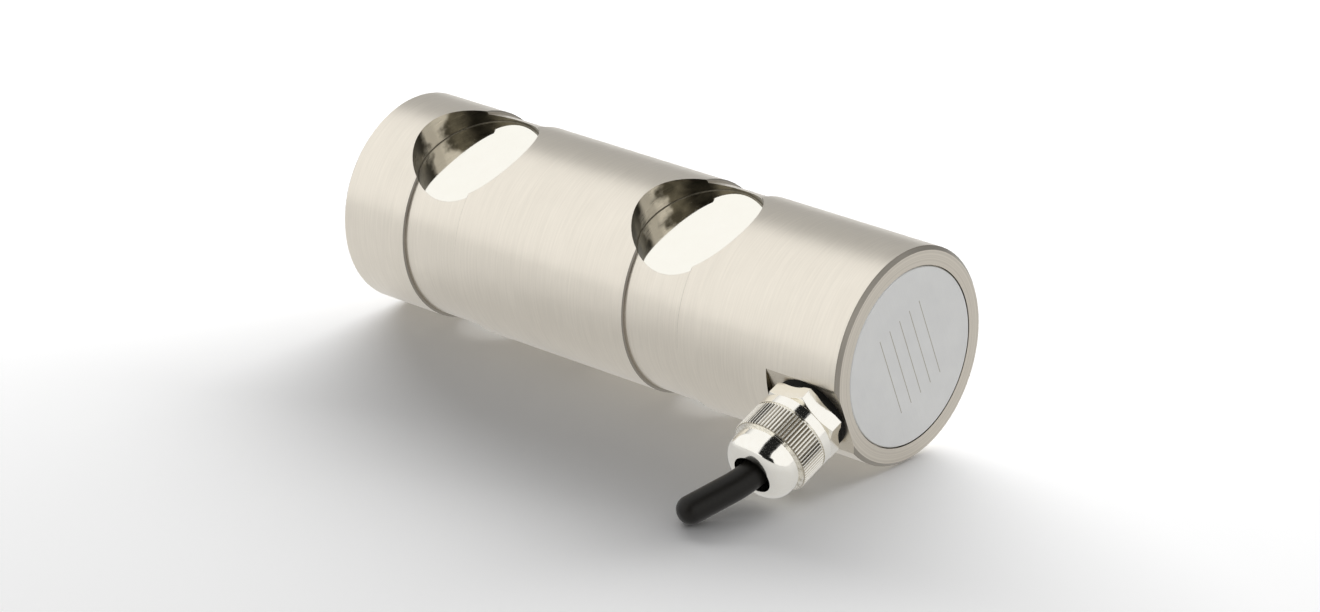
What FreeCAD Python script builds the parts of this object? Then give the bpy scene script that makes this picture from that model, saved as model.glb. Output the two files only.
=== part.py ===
# Shear pin load cell: a ground stainless pin that takes the place of a clevis pin.
# Two necked sections carry strain gauges in round pockets, one pair for each shear plane.
# All lengths are in millimetres and all angles in degrees.
#
# Frame of the part: the origin is the middle of the load land on the pin's axis, +X runs
# along the pin to the end with the cable, and +Z is up. The pin lies on its side. It is
# rolled about X so that the cable gland points towards -Y and down to the floor.

import FreeCAD, Part
import Sketcher
import math
import os

Vector = FreeCAD.Vector
doc = FreeCAD.newDocument("shear_pin_load_cell")

# Driving sizes
SIZES = [
    ("pin_diameter", 50, "outside of the pin on its three lands"),
    ("far_land", 20, "length of the support land at the plain end"),
    ("groove_width", 16, "width of each necked section"),
    ("load_land", 52, "length of the load land between the necked sections"),
    ("near_land", 46, "length of the support land at the cable end"),
    ("groove_depth", 0.75, "how far the necked sections lie under the lands"),
    ("end_chamfer", 0.85, "chamfer round both ends of the pin"),
    ("neck_chamfer", 0.3, "chamfer at both sides of each necked section"),
    ("centre_hole_diameter", 8, "mouth of the lathe centre in the plain end"),
    ("centre_hole_angle", 60, "full angle of the lathe centre"),
    ("roll", 22.5, "how far the gland points below the horizontal"),
    ("recess_diameter", 30.3, "round recess above each gauge cover"),
    ("cover_depth", 6.8, "outer face of a gauge cover below the surface of the lands"),
    ("cover_thickness", 1, "thickness of a gauge cover"),
    ("cover_clearance", 0.05, "gap round a gauge cover"),
    ("chamber_diameter", 24, "round gauge chamber under each cover"),
    ("web_thickness", 6, "web between the two chambers of a section"),
    ("lead_bore_diameter", 3, "bores for the gauge leads"),
    ("lead_bore_height", 7, "lead bores above the pin's axis"),
    ("lead_bore_side", 4, "lead bores beside the middle plane"),
    ("end_rim", 4.25, "wall of the pin round the end cover"),
    ("end_shoulder", 2.75, "shoulder under the end cover, round the wiring cavity"),
    ("end_cover_gap", 0.2, "gap round the end cover"),
    ("end_cover_thickness", 1.2, "thickness of the end cover"),
    ("end_cover_chamfer", 0.2, "chamfer round the face of the end cover"),
    ("end_gasket_thickness", 0.3, "gasket between the end cover and its shoulder"),
    ("gasket_margin", 0.2, "how far a gasket keeps from the edges of its seat"),
    ("gland_flat_depth", 1.75, "milled flat below the surface of the lands"),
    ("gland_flat_margin", 0.4, "room on the milled flat beyond the gland's hexagon"),
    ("gland_setback", 9.8, "gland axis behind the face of the cable end"),
    ("gland_thread", 15.2, "thread of the gland in the pin"),
    ("gland_thread_length", 5.8, "length of the gland's lower thread below its hexagon"),
    ("gland_gasket_margin", 0.5, "sealing ring of the gland beyond the flats of its hexagon"),
    ("gland_gasket_thickness", 1.25, "thickness of the gland's sealing ring"),
    ("gland_hex", 17, "width of the gland's hexagon across flats"),
    ("gland_hex_height", 3.9, "height of the gland's hexagon"),
    ("gland_hex_turn", 9.4, "angle of one hexagon corner from the pin's axis"),
    ("gland_hex_chamfer", 30, "slope of the chamfer on the hexagon's outer corners"),
    ("gland_bore_gap", 0.45, "gap between the bore of the gland and the cable"),
    ("cap_thread", 13, "upper thread of the gland under the cap nut"),
    ("cap_thread_length", 8, "length of the upper thread"),
    ("gland_wall", 1.2, "wall of the upper thread round the cable seal"),
    ("seal_seat_depth", 5.8, "depth of that seat below the gland's rim"),
    ("fit_gap", 0.1, "radial clearance of the fits inside the gland"),
    ("cap_gap", 0.4, "gap between the hexagon and the cap nut"),
    ("cap_wall", 2.95, "wall of the cap nut round its bore, under the knurl"),
    ("cap_collar", 2.6, "length of the plain collar of the cap nut"),
    ("cap_groove", 0.4, "width and depth of the groove beside the knurl"),
    ("knurl_length", 6.8, "length of the knurled band"),
    ("knurl_depth", 0.35, "depth of each knurl flute"),
    ("knurl_count", 72, "flutes round the cap nut"),
    ("knurl_share", 0.8, "share of the knurl's pitch that a flute takes"),
    ("cap_neck_step", 1.1, "how far the smooth ring lies under the knurl"),
    ("cap_neck_length", 2.5, "length of the smooth ring"),
    ("cap_edge_chamfer", 0.3, "chamfers on the rims of the cap nut"),
    ("cap_mouth_diameter", 9.5, "mouth of the cap nut round the cable"),
    ("cap_lip", 1.6, "straight length of that mouth"),
    ("cage_ring", 1.2, "height of the closed ring of the clamping cage"),
    ("cage_height", 4, "height of the clamping cage"),
    ("cage_slot", 1.4, "slots between the fingers of the clamping cage"),
    ("cage_fingers", 8, "fingers of the clamping cage"),
    ("seal_length", 10.9, "length of the cable seal"),
    ("cable_diameter", 6.5, "outside of the cable"),
    ("shield_wall", 0.25, "thickness of the cable's braided shield"),
    ("shield_gap", 0.25, "gap between the cores and the shield"),
    ("shield_bare", 1.5, "shield left bare at the stripped end"),
    ("core_diameter", 1.5, "insulated core of the cable"),
    ("core_gap", 0.05, "gap between two cores that lie side by side"),
    ("cable_inside", 1.5, "how far the jacket reaches into the wiring cavity"),
    ("cable_bend_radius", 28, "bend of the cable outside the gland"),
    ("cable_bend_angle", 19, "angle of that bend"),
    ("cable_bend_turn", 163.4, "direction of that bend round the gland's axis"),
    ("cable_tip_flat", 0.25, "radius of the flat in the middle of the cable's rounded end"),
    ("cable_tip_wall", 4, "closed end of the cable"),
    ("board_gap", 1, "gap round the terminal board"),
    ("board_setback", 10.6, "front of the terminal board behind the gland's axis"),
    ("board_thickness", 1.6, "thickness of the terminal board"),
    ("spacer_length", 8, "spacers under the terminal board"),
    ("spacer_diameter", 4.4, "outside of the spacers"),
    ("screw_diameter", 2, "thread of the board screws"),
    ("screw_hole_gap", 0.1, "radial clearance round the board screws"),
    ("screw_depth", 4, "depth of the board screws in the cavity floor"),
    ("screw_head_diameter", 3.8, "heads of the board screws"),
    ("screw_head_height", 1.3, "height of those heads"),
    ("screw_edge", 4, "board screws from the edge of the terminal board"),
    ("screw_count", 3, "board screws and spacers"),
    ("post_diameter", 1.4, "solder posts on the terminal board"),
    ("post_height", 3, "height of the solder posts"),
    ("post_spacing", 4, "solder posts from one another"),
    ("core_bend_radius", 3, "bend of the cores inside the wiring cavity"),
    ("resistor_length", 3.2, "trim resistors on the terminal board"),
    ("resistor_width", 1.6, "width of a trim resistor"),
    ("resistor_height", 0.6, "height of a trim resistor"),
    ("resistor_spacing", 4.5, "trim resistors from one another"),
    ("resistor_edge", 7, "row of trim resistors from the edge of the terminal board"),
    ("resistor_count", 3, "trim resistors"),
    ("gauge_length", 8, "strain gauge carrier along the pin"),
    ("gauge_width", 7, "strain gauge carrier across the pin"),
    ("gauge_thickness", 0.15, "thickness of the strain gauge carrier"),
    ("gauge_grid_width", 0.35, "bars of the measuring grid"),
    ("gauge_grid_length", 3.2, "length of those bars"),
    ("gauge_grid_step", 0.7, "spacing of those bars"),
    ("gauge_grid_height", 0.05, "height of those bars"),
    ("gauge_grid_bars", 4, "bars in each half of the grid"),
    ("tab_side", 2.6, "solder tab beside each gauge"),
    ("tab_thickness", 0.3, "thickness of a solder tab"),
    ("tab_gap", 0.5, "gap between a strain gauge and its solder tab"),
    ("lead_diameter", 1.8, "bundle of gauge leads"),
    ("lead_bend_radius", 2, "bend of the gauge leads above their tab"),
    ("cut_margin", 1, "how far a cut runs on past the face where it ends"),
]

sizes = doc.addObject("Spreadsheet::Sheet", "sizes")
for row, (alias, number, meaning) in enumerate(SIZES, start=1):
    sizes.set(f"A{row}", meaning)
    sizes.set(f"B{row}", str(number))
    sizes.setAlias(f"B{row}", alias)
doc.recompute()

# Places that follow from the driving sizes
# Distances along the pin start at the origin. Heights of the gland's pieces start at the
# pin's axis and run outwards along the axis of the gland.
PLACES = [
    ("pin_radius", "=sizes.pin_diameter / 2"),
    ("neck_radius", "=pin_radius - sizes.groove_depth"),
    ("station", "=(sizes.load_land + sizes.groove_width) / 2"),
    ("near_end", "=sizes.load_land / 2 + sizes.groove_width + sizes.near_land"),
    ("far_end", "=-sizes.load_land / 2 - sizes.groove_width - sizes.far_land"),
    ("cover_seat", "=pin_radius - sizes.cover_depth - sizes.cover_thickness"),
    ("web_face", "=sizes.web_thickness / 2"),
    ("end_seat_radius", "=pin_radius - sizes.end_rim"),
    ("end_cover_radius", "=end_seat_radius - sizes.end_cover_gap"),
    ("end_seat", "=near_end - sizes.end_cover_thickness - sizes.end_gasket_thickness"),
    ("cavity_radius", "=end_seat_radius - sizes.end_shoulder"),
    ("gland_place", "=near_end - sizes.gland_setback"),
    ("board_front", "=gland_place - sizes.board_setback"),
    ("board_back", "=board_front - sizes.board_thickness"),
    ("cavity_floor", "=board_back - sizes.spacer_length"),
    ("board_radius", "=cavity_radius - sizes.board_gap"),
    ("screw_pitch", "=board_radius - sizes.screw_edge"),
    ("tab_offset", "=(sizes.gauge_length + sizes.tab_side) / 2 + sizes.tab_gap"),
    ("hex_corner", "=sizes.gland_hex / 2 / cos(30)"),
    ("gland_flat", "=pin_radius - sizes.gland_flat_depth"),
    ("gland_flat_start", "=gland_place - hex_corner - sizes.gland_flat_margin"),
    ("gland_gasket_radius", "=sizes.gland_hex / 2 + sizes.gland_gasket_margin"),
    ("gland_seat", "=gland_flat + sizes.gland_gasket_thickness"),
    ("gland_foot", "=gland_flat - sizes.gland_thread_length"),
    ("hex_top", "=gland_seat + sizes.gland_hex_height"),
    ("gland_rim", "=hex_top + sizes.cap_thread_length"),
    ("gland_bore", "=sizes.cable_diameter / 2 + sizes.gland_bore_gap"),
    ("seal_seat_radius", "=sizes.cap_thread / 2 - sizes.gland_wall"),
    ("seal_seat", "=gland_rim - sizes.seal_seat_depth"),
    ("seal_front", "=seal_seat + sizes.seal_length"),
    ("cap_foot", "=hex_top + sizes.cap_gap"),
    ("knurl_foot", "=cap_foot + sizes.cap_collar + sizes.cap_groove"),
    ("knurl_top", "=knurl_foot + sizes.knurl_length"),
    ("neck_top", "=knurl_top + sizes.cap_neck_length"),
    ("cap_radius", "=sizes.cap_thread / 2 + sizes.fit_gap + sizes.cap_wall"),
    ("cap_neck", "=cap_radius - sizes.cap_neck_step"),
    ("dome_radius", "=cap_neck - sizes.cap_mouth_diameter / 2"),
    ("cap_nose", "=neck_top + dome_radius"),
    ("core_pitch", "=(sizes.core_diameter + sizes.core_gap) / sqrt(2)"),
    ("shield_bore", "=core_pitch + sizes.core_diameter / 2 + sizes.shield_gap"),
    ("shield_radius", "=shield_bore + sizes.shield_wall"),
    ("cable_start", "=cavity_radius - sizes.cable_inside"),
    ("tip_round", "=sizes.cable_diameter / 2 - sizes.cable_tip_flat"),
    ("bend_end", "=seal_front + sizes.cable_bend_radius * sin(sizes.cable_bend_angle)"),
    ("bend_side", "=sizes.cable_bend_radius * (1 - cos(sizes.cable_bend_angle))"),
    ("bend_lift", "=cos(sizes.roll) * sin(sizes.cable_bend_turn)"),
    ("tip_drop", "=pin_radius - sizes.cable_diameter / 2 - sin(sizes.roll) * bend_end"),
    ("tip_fall", "=sin(sizes.roll) * cos(sizes.cable_bend_angle)"),
    ("tip_rise", "=bend_lift * sin(sizes.cable_bend_angle)"),
    ("floor_run", "=(tip_drop + bend_lift * bend_side) / (tip_fall - tip_rise)"),
    ("cable_run", "=floor_run + tip_round"),
    ("core_run", "=cable_run - sizes.cable_tip_wall"),
]

places = doc.addObject("Spreadsheet::Sheet", "places")
for row, (alias, formula) in enumerate(PLACES, start=1):
    places.set(f"A{row}", alias.replace("_", " "))
    places.set(f"B{row}", formula)
    places.setAlias(f"B{row}", alias)
doc.recompute()

parts = []


def value(expression):
    """Works out an expression of the two sheets as a plain number."""
    result = sizes.evalExpression(expression)
    return float(getattr(result, "Value", result))


def new_body(name, turn="sizes.roll", along="0"):
    """Starts a piece that is turned about the pin's axis and set at a place along it."""
    body = doc.addObject("PartDesign::Body", name)
    body.Label = name
    body.Placement = FreeCAD.Placement(Vector(), FreeCAD.Rotation(Vector(1, 0, 0), 1))
    body.setExpression("Placement.Rotation.Angle", turn)
    body.setExpression("Placement.Base.x", along)
    parts.append(body)
    return body


def new_sketch(body, name, plane, offset="0"):
    """Lays a sketch on one of the body's own planes, moved along the plane's normal."""
    sketch = body.newObject("Sketcher::SketchObject", name)
    origin_planes = {feature.Role: feature for feature in body.Origin.OriginFeatures}
    sketch.AttachmentSupport = (origin_planes[plane], [""])
    sketch.MapMode = "FlatFace"
    sketch.setExpression("AttachmentOffset.Base.z", offset)
    return sketch


def pin_down(sketch, geometry, point, across, along):
    """Ties one point of a sketch to its two coordinates."""
    for kind, axis, expression in (("DistanceX", -2, across), ("DistanceY", -1, along)):
        if expression == "0":
            sketch.addConstraint(Sketcher.Constraint("PointOnObject", geometry, point, axis))
        else:
            rule = Sketcher.Constraint(kind, geometry, point, value(expression))
            index = sketch.addConstraint(rule)
            sketch.setExpression(f"Constraints[{index}]", expression)


def add_circle(sketch, across, along, radius):
    """Draws a circle."""
    centre = Vector(value(across), value(along), 0)
    circle = sketch.addGeometry(Part.Circle(centre, Vector(0, 0, 1), value(radius)), False)
    pin_down(sketch, circle, 3, across, along)
    index = sketch.addConstraint(Sketcher.Constraint("Radius", circle, value(radius)))
    sketch.setExpression(f"Constraints[{index}]", radius)


def add_arc(sketch, start, end, radius, side):
    """Draws an arc between two points, with its centre to the left or right of the way."""
    chord = end.sub(start)
    rise = math.sqrt(radius ** 2 - (chord.Length / 2) ** 2)
    left = Vector(-chord.y, chord.x, 0).normalize()
    reach = rise if side == "left" else -rise
    centre = start.add(chord.multiply(0.5)).add(left.multiply(reach))
    first, last = (start, end) if side == "left" else (end, start)
    angles = [math.atan2(point.y - centre.y, point.x - centre.x) for point in (first, last)]
    circle = Part.Circle(centre, Vector(0, 0, 1), radius)
    return sketch.addGeometry(Part.ArcOfCircle(circle, angles[0], angles[1]), False)


def add_outline(sketch, corners, closed=True):
    """Draws an outline through corners, each tied to its coordinates.

    A corner is (across, along). It is (across, along, radius, side) where an arc leaves it.
    """
    points = [Vector(value(corner[0]), value(corner[1]), 0) for corner in corners]
    count = len(corners) if closed else len(corners) - 1
    edges = []
    for step in range(count):
        corner = corners[step]
        start, end = points[step], points[(step + 1) % len(points)]
        if len(corner) == 2:
            line = sketch.addGeometry(Part.LineSegment(start, end), False)
            edges.append((line, 1, 2))
            continue
        arc = add_arc(sketch, start, end, value(corner[2]), corner[3])
        edges.append((arc, 1, 2) if corner[3] == "left" else (arc, 2, 1))
    for step, (edge, first, last) in enumerate(edges):
        if closed or step < count - 1:
            follower = edges[(step + 1) % count]
            join = Sketcher.Constraint("Coincident", edge, last, follower[0], follower[1])
            sketch.addConstraint(join)
    for corner, (edge, first, last) in zip(corners, edges):
        pin_down(sketch, edge, first, corner[0], corner[1])
        if len(corner) == 4:
            rule = Sketcher.Constraint("Radius", edge, value(corner[2]))
            index = sketch.addConstraint(rule)
            sketch.setExpression(f"Constraints[{index}]", corner[2])
    if not closed:
        pin_down(sketch, edges[-1][0], edges[-1][2], corners[-1][0], corners[-1][1])


def pad(body, sketch, length, backwards=False):
    """Raises a sketch to a solid."""
    feature = body.newObject("PartDesign::Pad", f"{sketch.Name}_pad")
    feature.Profile = sketch
    feature.setExpression("Length", length)
    feature.Reversed = backwards
    return feature


def cut(body, sketch, length=None, backwards=False):
    """Cuts a sketch away, all the way through where no length is given."""
    feature = body.newObject("PartDesign::Pocket", f"{sketch.Name}_cut")
    feature.Profile = sketch
    feature.Reversed = backwards
    if length is None:
        feature.Type = "ThroughAll"
    else:
        feature.setExpression("Length", length)
    return feature


def revolve(body, sketch, axis, kind="Revolution"):
    """Turns a sketch round one of its own axes, to add or to cut."""
    feature = body.newObject(f"PartDesign::{kind}", f"{sketch.Name}_turned")
    feature.Profile = sketch
    feature.ReferenceAxis = (sketch, [axis])
    feature.Angle = 360
    return feature


def repeat_round(body, feature, axis, count):
    """Repeats a feature evenly round one of the body's own axes."""
    pattern = body.newObject("PartDesign::PolarPattern", f"{feature.Name}_ring")
    pattern.Originals = [feature]
    lines = {line.Role: line for line in body.Origin.OriginFeatures}
    pattern.Axis = (lines[axis], [""])
    pattern.Angle = 360
    pattern.setExpression("Occurrences", count)
    body.Tip = pattern
    return pattern


def sweep(body, profile, path, kind="AdditivePipe"):
    """Carries a profile along a path, to add or to cut."""
    feature = body.newObject(f"PartDesign::{kind}", f"{profile.Name}_swept")
    feature.Profile = profile
    feature.Spine = (path, [])
    return feature


# The pin
# One bar of stainless steel, turned and ground. Its necked sections put the load onto the
# three lands, and its cable end is bored out for the wiring.
pin = new_body("pin_body")

pin_profile = new_sketch(pin, "pin_profile", "XZ_Plane")
centre_depth = "sizes.centre_hole_diameter / 2 / tan(sizes.centre_hole_angle / 2)"
add_outline(pin_profile, [
    (f"places.far_end + {centre_depth}", "0"),
    ("places.far_end", "sizes.centre_hole_diameter / 2"),
    ("places.far_end", "places.pin_radius - sizes.end_chamfer"),
    ("places.far_end + sizes.end_chamfer", "places.pin_radius"),
    ("-places.station - sizes.groove_width / 2 - sizes.neck_chamfer", "places.pin_radius"),
    ("-places.station - sizes.groove_width / 2", "places.pin_radius - sizes.neck_chamfer"),
    ("-places.station - sizes.groove_width / 2", "places.neck_radius"),
    ("-places.station + sizes.groove_width / 2", "places.neck_radius"),
    ("-places.station + sizes.groove_width / 2", "places.pin_radius - sizes.neck_chamfer"),
    ("-places.station + sizes.groove_width / 2 + sizes.neck_chamfer", "places.pin_radius"),
    ("places.station - sizes.groove_width / 2 - sizes.neck_chamfer", "places.pin_radius"),
    ("places.station - sizes.groove_width / 2", "places.pin_radius - sizes.neck_chamfer"),
    ("places.station - sizes.groove_width / 2", "places.neck_radius"),
    ("places.station + sizes.groove_width / 2", "places.neck_radius"),
    ("places.station + sizes.groove_width / 2", "places.pin_radius - sizes.neck_chamfer"),
    ("places.station + sizes.groove_width / 2 + sizes.neck_chamfer", "places.pin_radius"),
    ("places.near_end - sizes.end_chamfer", "places.pin_radius"),
    ("places.near_end", "places.pin_radius - sizes.end_chamfer"),
    ("places.near_end", "places.end_seat_radius"),
    ("places.end_seat", "places.end_seat_radius"),
    ("places.end_seat", "places.cavity_radius"),
    ("places.cavity_floor", "places.cavity_radius"),
    ("places.cavity_floor", "0"),
])
revolve(pin, pin_profile, "H_Axis")

# The recesses for the covers and the chambers under them come in opposite pairs, so that
# a web is left between them.
recesses = new_sketch(pin, "recesses", "XY_Plane", "places.cover_seat")
chambers = new_sketch(pin, "chambers", "XY_Plane", "places.web_face")
for middle in ("places.station", "-places.station"):
    add_circle(recesses, middle, "0", "sizes.recess_diameter / 2")
    add_circle(chambers, middle, "0", "sizes.chamber_diameter / 2")
recess_cut = cut(pin, recesses, backwards=True)
chamber_cut = cut(pin, chambers, backwards=True)
opposite = pin.newObject("PartDesign::Mirrored", "opposite_chambers")
opposite.Originals = [recess_cut, chamber_cut]
opposite.MirrorPlane = (
    next(plane for plane in pin.Origin.OriginFeatures if plane.Role == "XY_Plane"), [""])
pin.Tip = opposite

# Bores lead the gauge leads from each chamber to the wiring cavity.
for name, start, side in (("far", "-places.station", 1), ("near", "places.station", -1)):
    bores = new_sketch(pin, f"{name}_lead_bores", "YZ_Plane", start)
    for face in (1, -1):
        add_circle(
            bores, f"{side * face} * sizes.lead_bore_side", f"{face} * sizes.lead_bore_height",
            "sizes.lead_bore_diameter / 2")
    cut(pin, bores, f"places.cavity_floor + sizes.cut_margin - ({start})", backwards=True)

# The gland sits on a milled flat and is screwed through into the wiring cavity.
gland_flat = new_sketch(pin, "gland_flat", "XZ_Plane", "places.gland_flat")
add_outline(gland_flat, [
    ("places.gland_flat_start", "-places.pin_radius"),
    ("places.near_end + sizes.cut_margin", "-places.pin_radius"),
    ("places.near_end + sizes.cut_margin", "places.pin_radius"),
    ("places.gland_flat_start", "places.pin_radius"),
])
cut(pin, gland_flat, backwards=True)
gland_port = new_sketch(pin, "gland_port", "XZ_Plane", "places.gland_flat")
add_circle(gland_port, "places.gland_place", "0", "sizes.gland_thread / 2")
cut(pin, gland_port, "places.gland_flat")


def add_screw_circles(sketch, radius):
    """Draws one circle at each board screw."""
    for screw in range(int(value("sizes.screw_count"))):
        angle = f"(90 + {screw} * 360 / sizes.screw_count)"
        across = f"places.screw_pitch * cos({angle})"
        along = f"places.screw_pitch * sin({angle})"
        add_circle(sketch, across, along, radius)


board_screw_holes = new_sketch(pin, "board_screw_holes", "YZ_Plane", "places.cavity_floor")
add_screw_circles(board_screw_holes, "sizes.screw_diameter / 2")
cut(pin, board_screw_holes, "sizes.screw_depth")

# Gauge covers
# Thin stainless discs that are welded into the recesses and seal the chambers.
# Strain gauges
# Foil gauges on a thin carrier, bonded to both faces of the web. Their two grids lie at 45
# degrees to the pin, in the directions of shear, and end at a solder tab.
# Gauge leads
# A bundle of fine wires rises from each tab and runs through its bore to the board.
grid_reach = "(sizes.gauge_grid_length / 2 / sqrt(2))"
grid_half = "(sizes.gauge_grid_width / 2 / sqrt(2))"

for face, turn in (("front", "sizes.roll"), ("rear", "sizes.roll + 180")):
    for place, middle, side in (("near", "places.station", -1), ("far", "-places.station", 1)):
        name = f"{place}_{face}"

        cover = new_body(f"gauge_cover_{name}", turn)
        cover_disc = new_sketch(cover, f"cover_disc_{name}", "XY_Plane", "places.cover_seat")
        add_circle(cover_disc, middle, "0", "sizes.recess_diameter / 2 - sizes.cover_clearance")
        pad(cover, cover_disc, "sizes.cover_thickness")

        gauge = new_body(f"strain_gauge_{name}", turn)
        carrier = new_sketch(gauge, f"carrier_{name}", "XY_Plane", "places.web_face")
        add_outline(carrier, [
            (f"{middle} - sizes.gauge_length / 2", "-sizes.gauge_width / 2"),
            (f"{middle} + sizes.gauge_length / 2", "-sizes.gauge_width / 2"),
            (f"{middle} + sizes.gauge_length / 2", "sizes.gauge_width / 2"),
            (f"{middle} - sizes.gauge_length / 2", "sizes.gauge_width / 2"),
        ])
        pad(gauge, carrier, "sizes.gauge_thickness")
        grid_height = "places.web_face + sizes.gauge_thickness"
        grid = new_sketch(gauge, f"grid_{name}", "XY_Plane", grid_height)
        for half in (1, -1):
            for bar in range(int(value("sizes.gauge_grid_bars"))):
                shift = f"({bar} - (sizes.gauge_grid_bars - 1) / 2) * sizes.gauge_grid_step"
                across = f"({middle} + {shift} * sqrt(2))"
                along = f"{half} * sizes.gauge_width / 4"
                add_outline(grid, [
                    (f"{across} - {grid_reach} - {grid_half}",
                     f"{along} - {half} * ({grid_reach} - {grid_half})"),
                    (f"{across} - {grid_reach} + {grid_half}",
                     f"{along} - {half} * ({grid_reach} + {grid_half})"),
                    (f"{across} + {grid_reach} + {grid_half}",
                     f"{along} + {half} * ({grid_reach} - {grid_half})"),
                    (f"{across} + {grid_reach} - {grid_half}",
                     f"{along} + {half} * ({grid_reach} + {grid_half})"),
                ])
        pad(gauge, grid, "sizes.gauge_grid_height")

        tab = new_body(f"solder_tab_{name}", turn)
        tab_outline = new_sketch(tab, f"tab_outline_{name}", "XY_Plane", "places.web_face")
        tab_middle = f"{middle} + places.tab_offset"
        lead_side = f"{side} * sizes.lead_bore_side"
        add_outline(tab_outline, [
            (f"{tab_middle} - sizes.tab_side / 2", f"{lead_side} - sizes.tab_side / 2"),
            (f"{tab_middle} + sizes.tab_side / 2", f"{lead_side} - sizes.tab_side / 2"),
            (f"{tab_middle} + sizes.tab_side / 2", f"{lead_side} + sizes.tab_side / 2"),
            (f"{tab_middle} - sizes.tab_side / 2", f"{lead_side} + sizes.tab_side / 2"),
        ])
        pad(tab, tab_outline, "sizes.tab_thickness")

        lead = new_body(f"gauge_lead_{name}", turn)
        lead_foot = "places.web_face + sizes.tab_thickness"
        lead_path = new_sketch(lead, f"lead_path_{name}", "XZ_Plane", f"-({lead_side})")
        add_outline(lead_path, [
            (tab_middle, lead_foot),
            (tab_middle, "sizes.lead_bore_height - sizes.lead_bend_radius",
             "sizes.lead_bend_radius", "right"),
            (f"{tab_middle} + sizes.lead_bend_radius", "sizes.lead_bore_height"),
            ("places.board_back", "sizes.lead_bore_height"),
        ], closed=False)
        lead_section = new_sketch(lead, f"lead_section_{name}", "XY_Plane", lead_foot)
        add_circle(lead_section, tab_middle, lead_side, "sizes.lead_diameter / 2")
        sweep(lead, lead_section, lead_path)

# Terminal board
# A round circuit board on three spacers. The gauge leads come to its back and the cores of
# the cable to a row of posts on its front, beside the trim resistors.
spacers = new_body("board_spacers")
spacer_rings = new_sketch(spacers, "spacer_rings", "YZ_Plane", "places.cavity_floor")
add_screw_circles(spacer_rings, "sizes.spacer_diameter / 2")
add_screw_circles(spacer_rings, "sizes.screw_diameter / 2 + sizes.screw_hole_gap")
pad(spacers, spacer_rings, "sizes.spacer_length")

board = new_body("terminal_board")
board_outline = new_sketch(board, "board_outline", "YZ_Plane", "places.board_back")
add_circle(board_outline, "0", "0", "places.board_radius")
add_screw_circles(board_outline, "sizes.screw_diameter / 2 + sizes.screw_hole_gap")
pad(board, board_outline, "sizes.board_thickness")

screws = new_body("board_screws")
screw_feet = "places.cavity_floor - sizes.screw_depth"
screw_shanks = new_sketch(screws, "screw_shanks", "YZ_Plane", screw_feet)
add_screw_circles(screw_shanks, "sizes.screw_diameter / 2")
pad(screws, screw_shanks, "sizes.screw_depth + places.board_front - places.cavity_floor")
screw_heads = new_sketch(screws, "screw_heads", "YZ_Plane", "places.board_front")
add_screw_circles(screw_heads, "sizes.screw_head_diameter / 2")
pad(screws, screw_heads, "sizes.screw_head_height")

# The four cores lie in a square in the cable. Each keeps its height over the board and
# ends on a post of its own, so that no core crosses another.
CORES = [
    ("core_red", -1, 1, -0.5),
    ("core_black", -1, -1, -1.5),
    ("core_green", 1, 1, 1.5),
    ("core_white", 1, -1, 0.5),
]
posts = new_body("solder_posts")
post_circles = new_sketch(posts, "post_circles", "YZ_Plane", "places.board_front")
for name, across, up, post in CORES:
    add_circle(
        post_circles, f"{post} * sizes.post_spacing", f"{up} * places.core_pitch / sqrt(2)",
        "sizes.post_diameter / 2")
pad(posts, post_circles, "sizes.post_height")

resistors = new_body("trim_resistors")
resistor_outlines = new_sketch(resistors, "resistor_outlines", "YZ_Plane", "places.board_front")
for chip in range(int(value("sizes.resistor_count"))):
    middle = f"({chip} - (sizes.resistor_count - 1) / 2) * sizes.resistor_spacing"
    row_height = "(sizes.resistor_edge - places.board_radius)"
    add_outline(resistor_outlines, [
        (f"{middle} - sizes.resistor_length / 2", f"{row_height} - sizes.resistor_width / 2"),
        (f"{middle} + sizes.resistor_length / 2", f"{row_height} - sizes.resistor_width / 2"),
        (f"{middle} + sizes.resistor_length / 2", f"{row_height} + sizes.resistor_width / 2"),
        (f"{middle} - sizes.resistor_length / 2", f"{row_height} + sizes.resistor_width / 2"),
    ])
pad(resistors, resistor_outlines, "sizes.resistor_height")

# End cover
# A thin round plate, flush with the end of the pin and bonded on a gasket.
end_gasket = new_body("end_cover_gasket")
end_gasket_ring = new_sketch(end_gasket, "end_gasket_ring", "YZ_Plane", "places.end_seat")
add_circle(end_gasket_ring, "0", "0", "places.end_seat_radius - sizes.gasket_margin")
add_circle(end_gasket_ring, "0", "0", "places.cavity_radius + sizes.gasket_margin")
pad(end_gasket, end_gasket_ring, "sizes.end_gasket_thickness")

end_cover = new_body("end_cover")
end_cover_profile = new_sketch(end_cover, "end_cover_profile", "XZ_Plane")
add_outline(end_cover_profile, [
    ("places.near_end - sizes.end_cover_thickness", "0"),
    ("places.near_end", "0"),
    ("places.near_end", "places.end_cover_radius - sizes.end_cover_chamfer"),
    ("places.near_end - sizes.end_cover_chamfer", "places.end_cover_radius"),
    ("places.near_end - sizes.end_cover_thickness", "places.end_cover_radius"),
])
revolve(end_cover, end_cover_profile, "H_Axis")

# Cable gland
# Nickel-plated brass. The pieces of the gland are drawn about their own axis, which is the
# local Z axis and points out of the pin.
GLAND_TURN = "sizes.roll + 90"


def gland_body_at(name):
    """Starts a piece on the axis of the gland."""
    return new_body(name, GLAND_TURN, "places.gland_place")


gland_gasket = gland_body_at("gland_gasket")
gland_gasket_ring = new_sketch(
    gland_gasket, "gland_gasket_ring", "XY_Plane", "places.gland_flat")
add_circle(gland_gasket_ring, "0", "0", "places.gland_gasket_radius")
add_circle(gland_gasket_ring, "0", "0", "sizes.gland_thread / 2 + sizes.fit_gap")
pad(gland_gasket, gland_gasket_ring, "sizes.gland_gasket_thickness")

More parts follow.
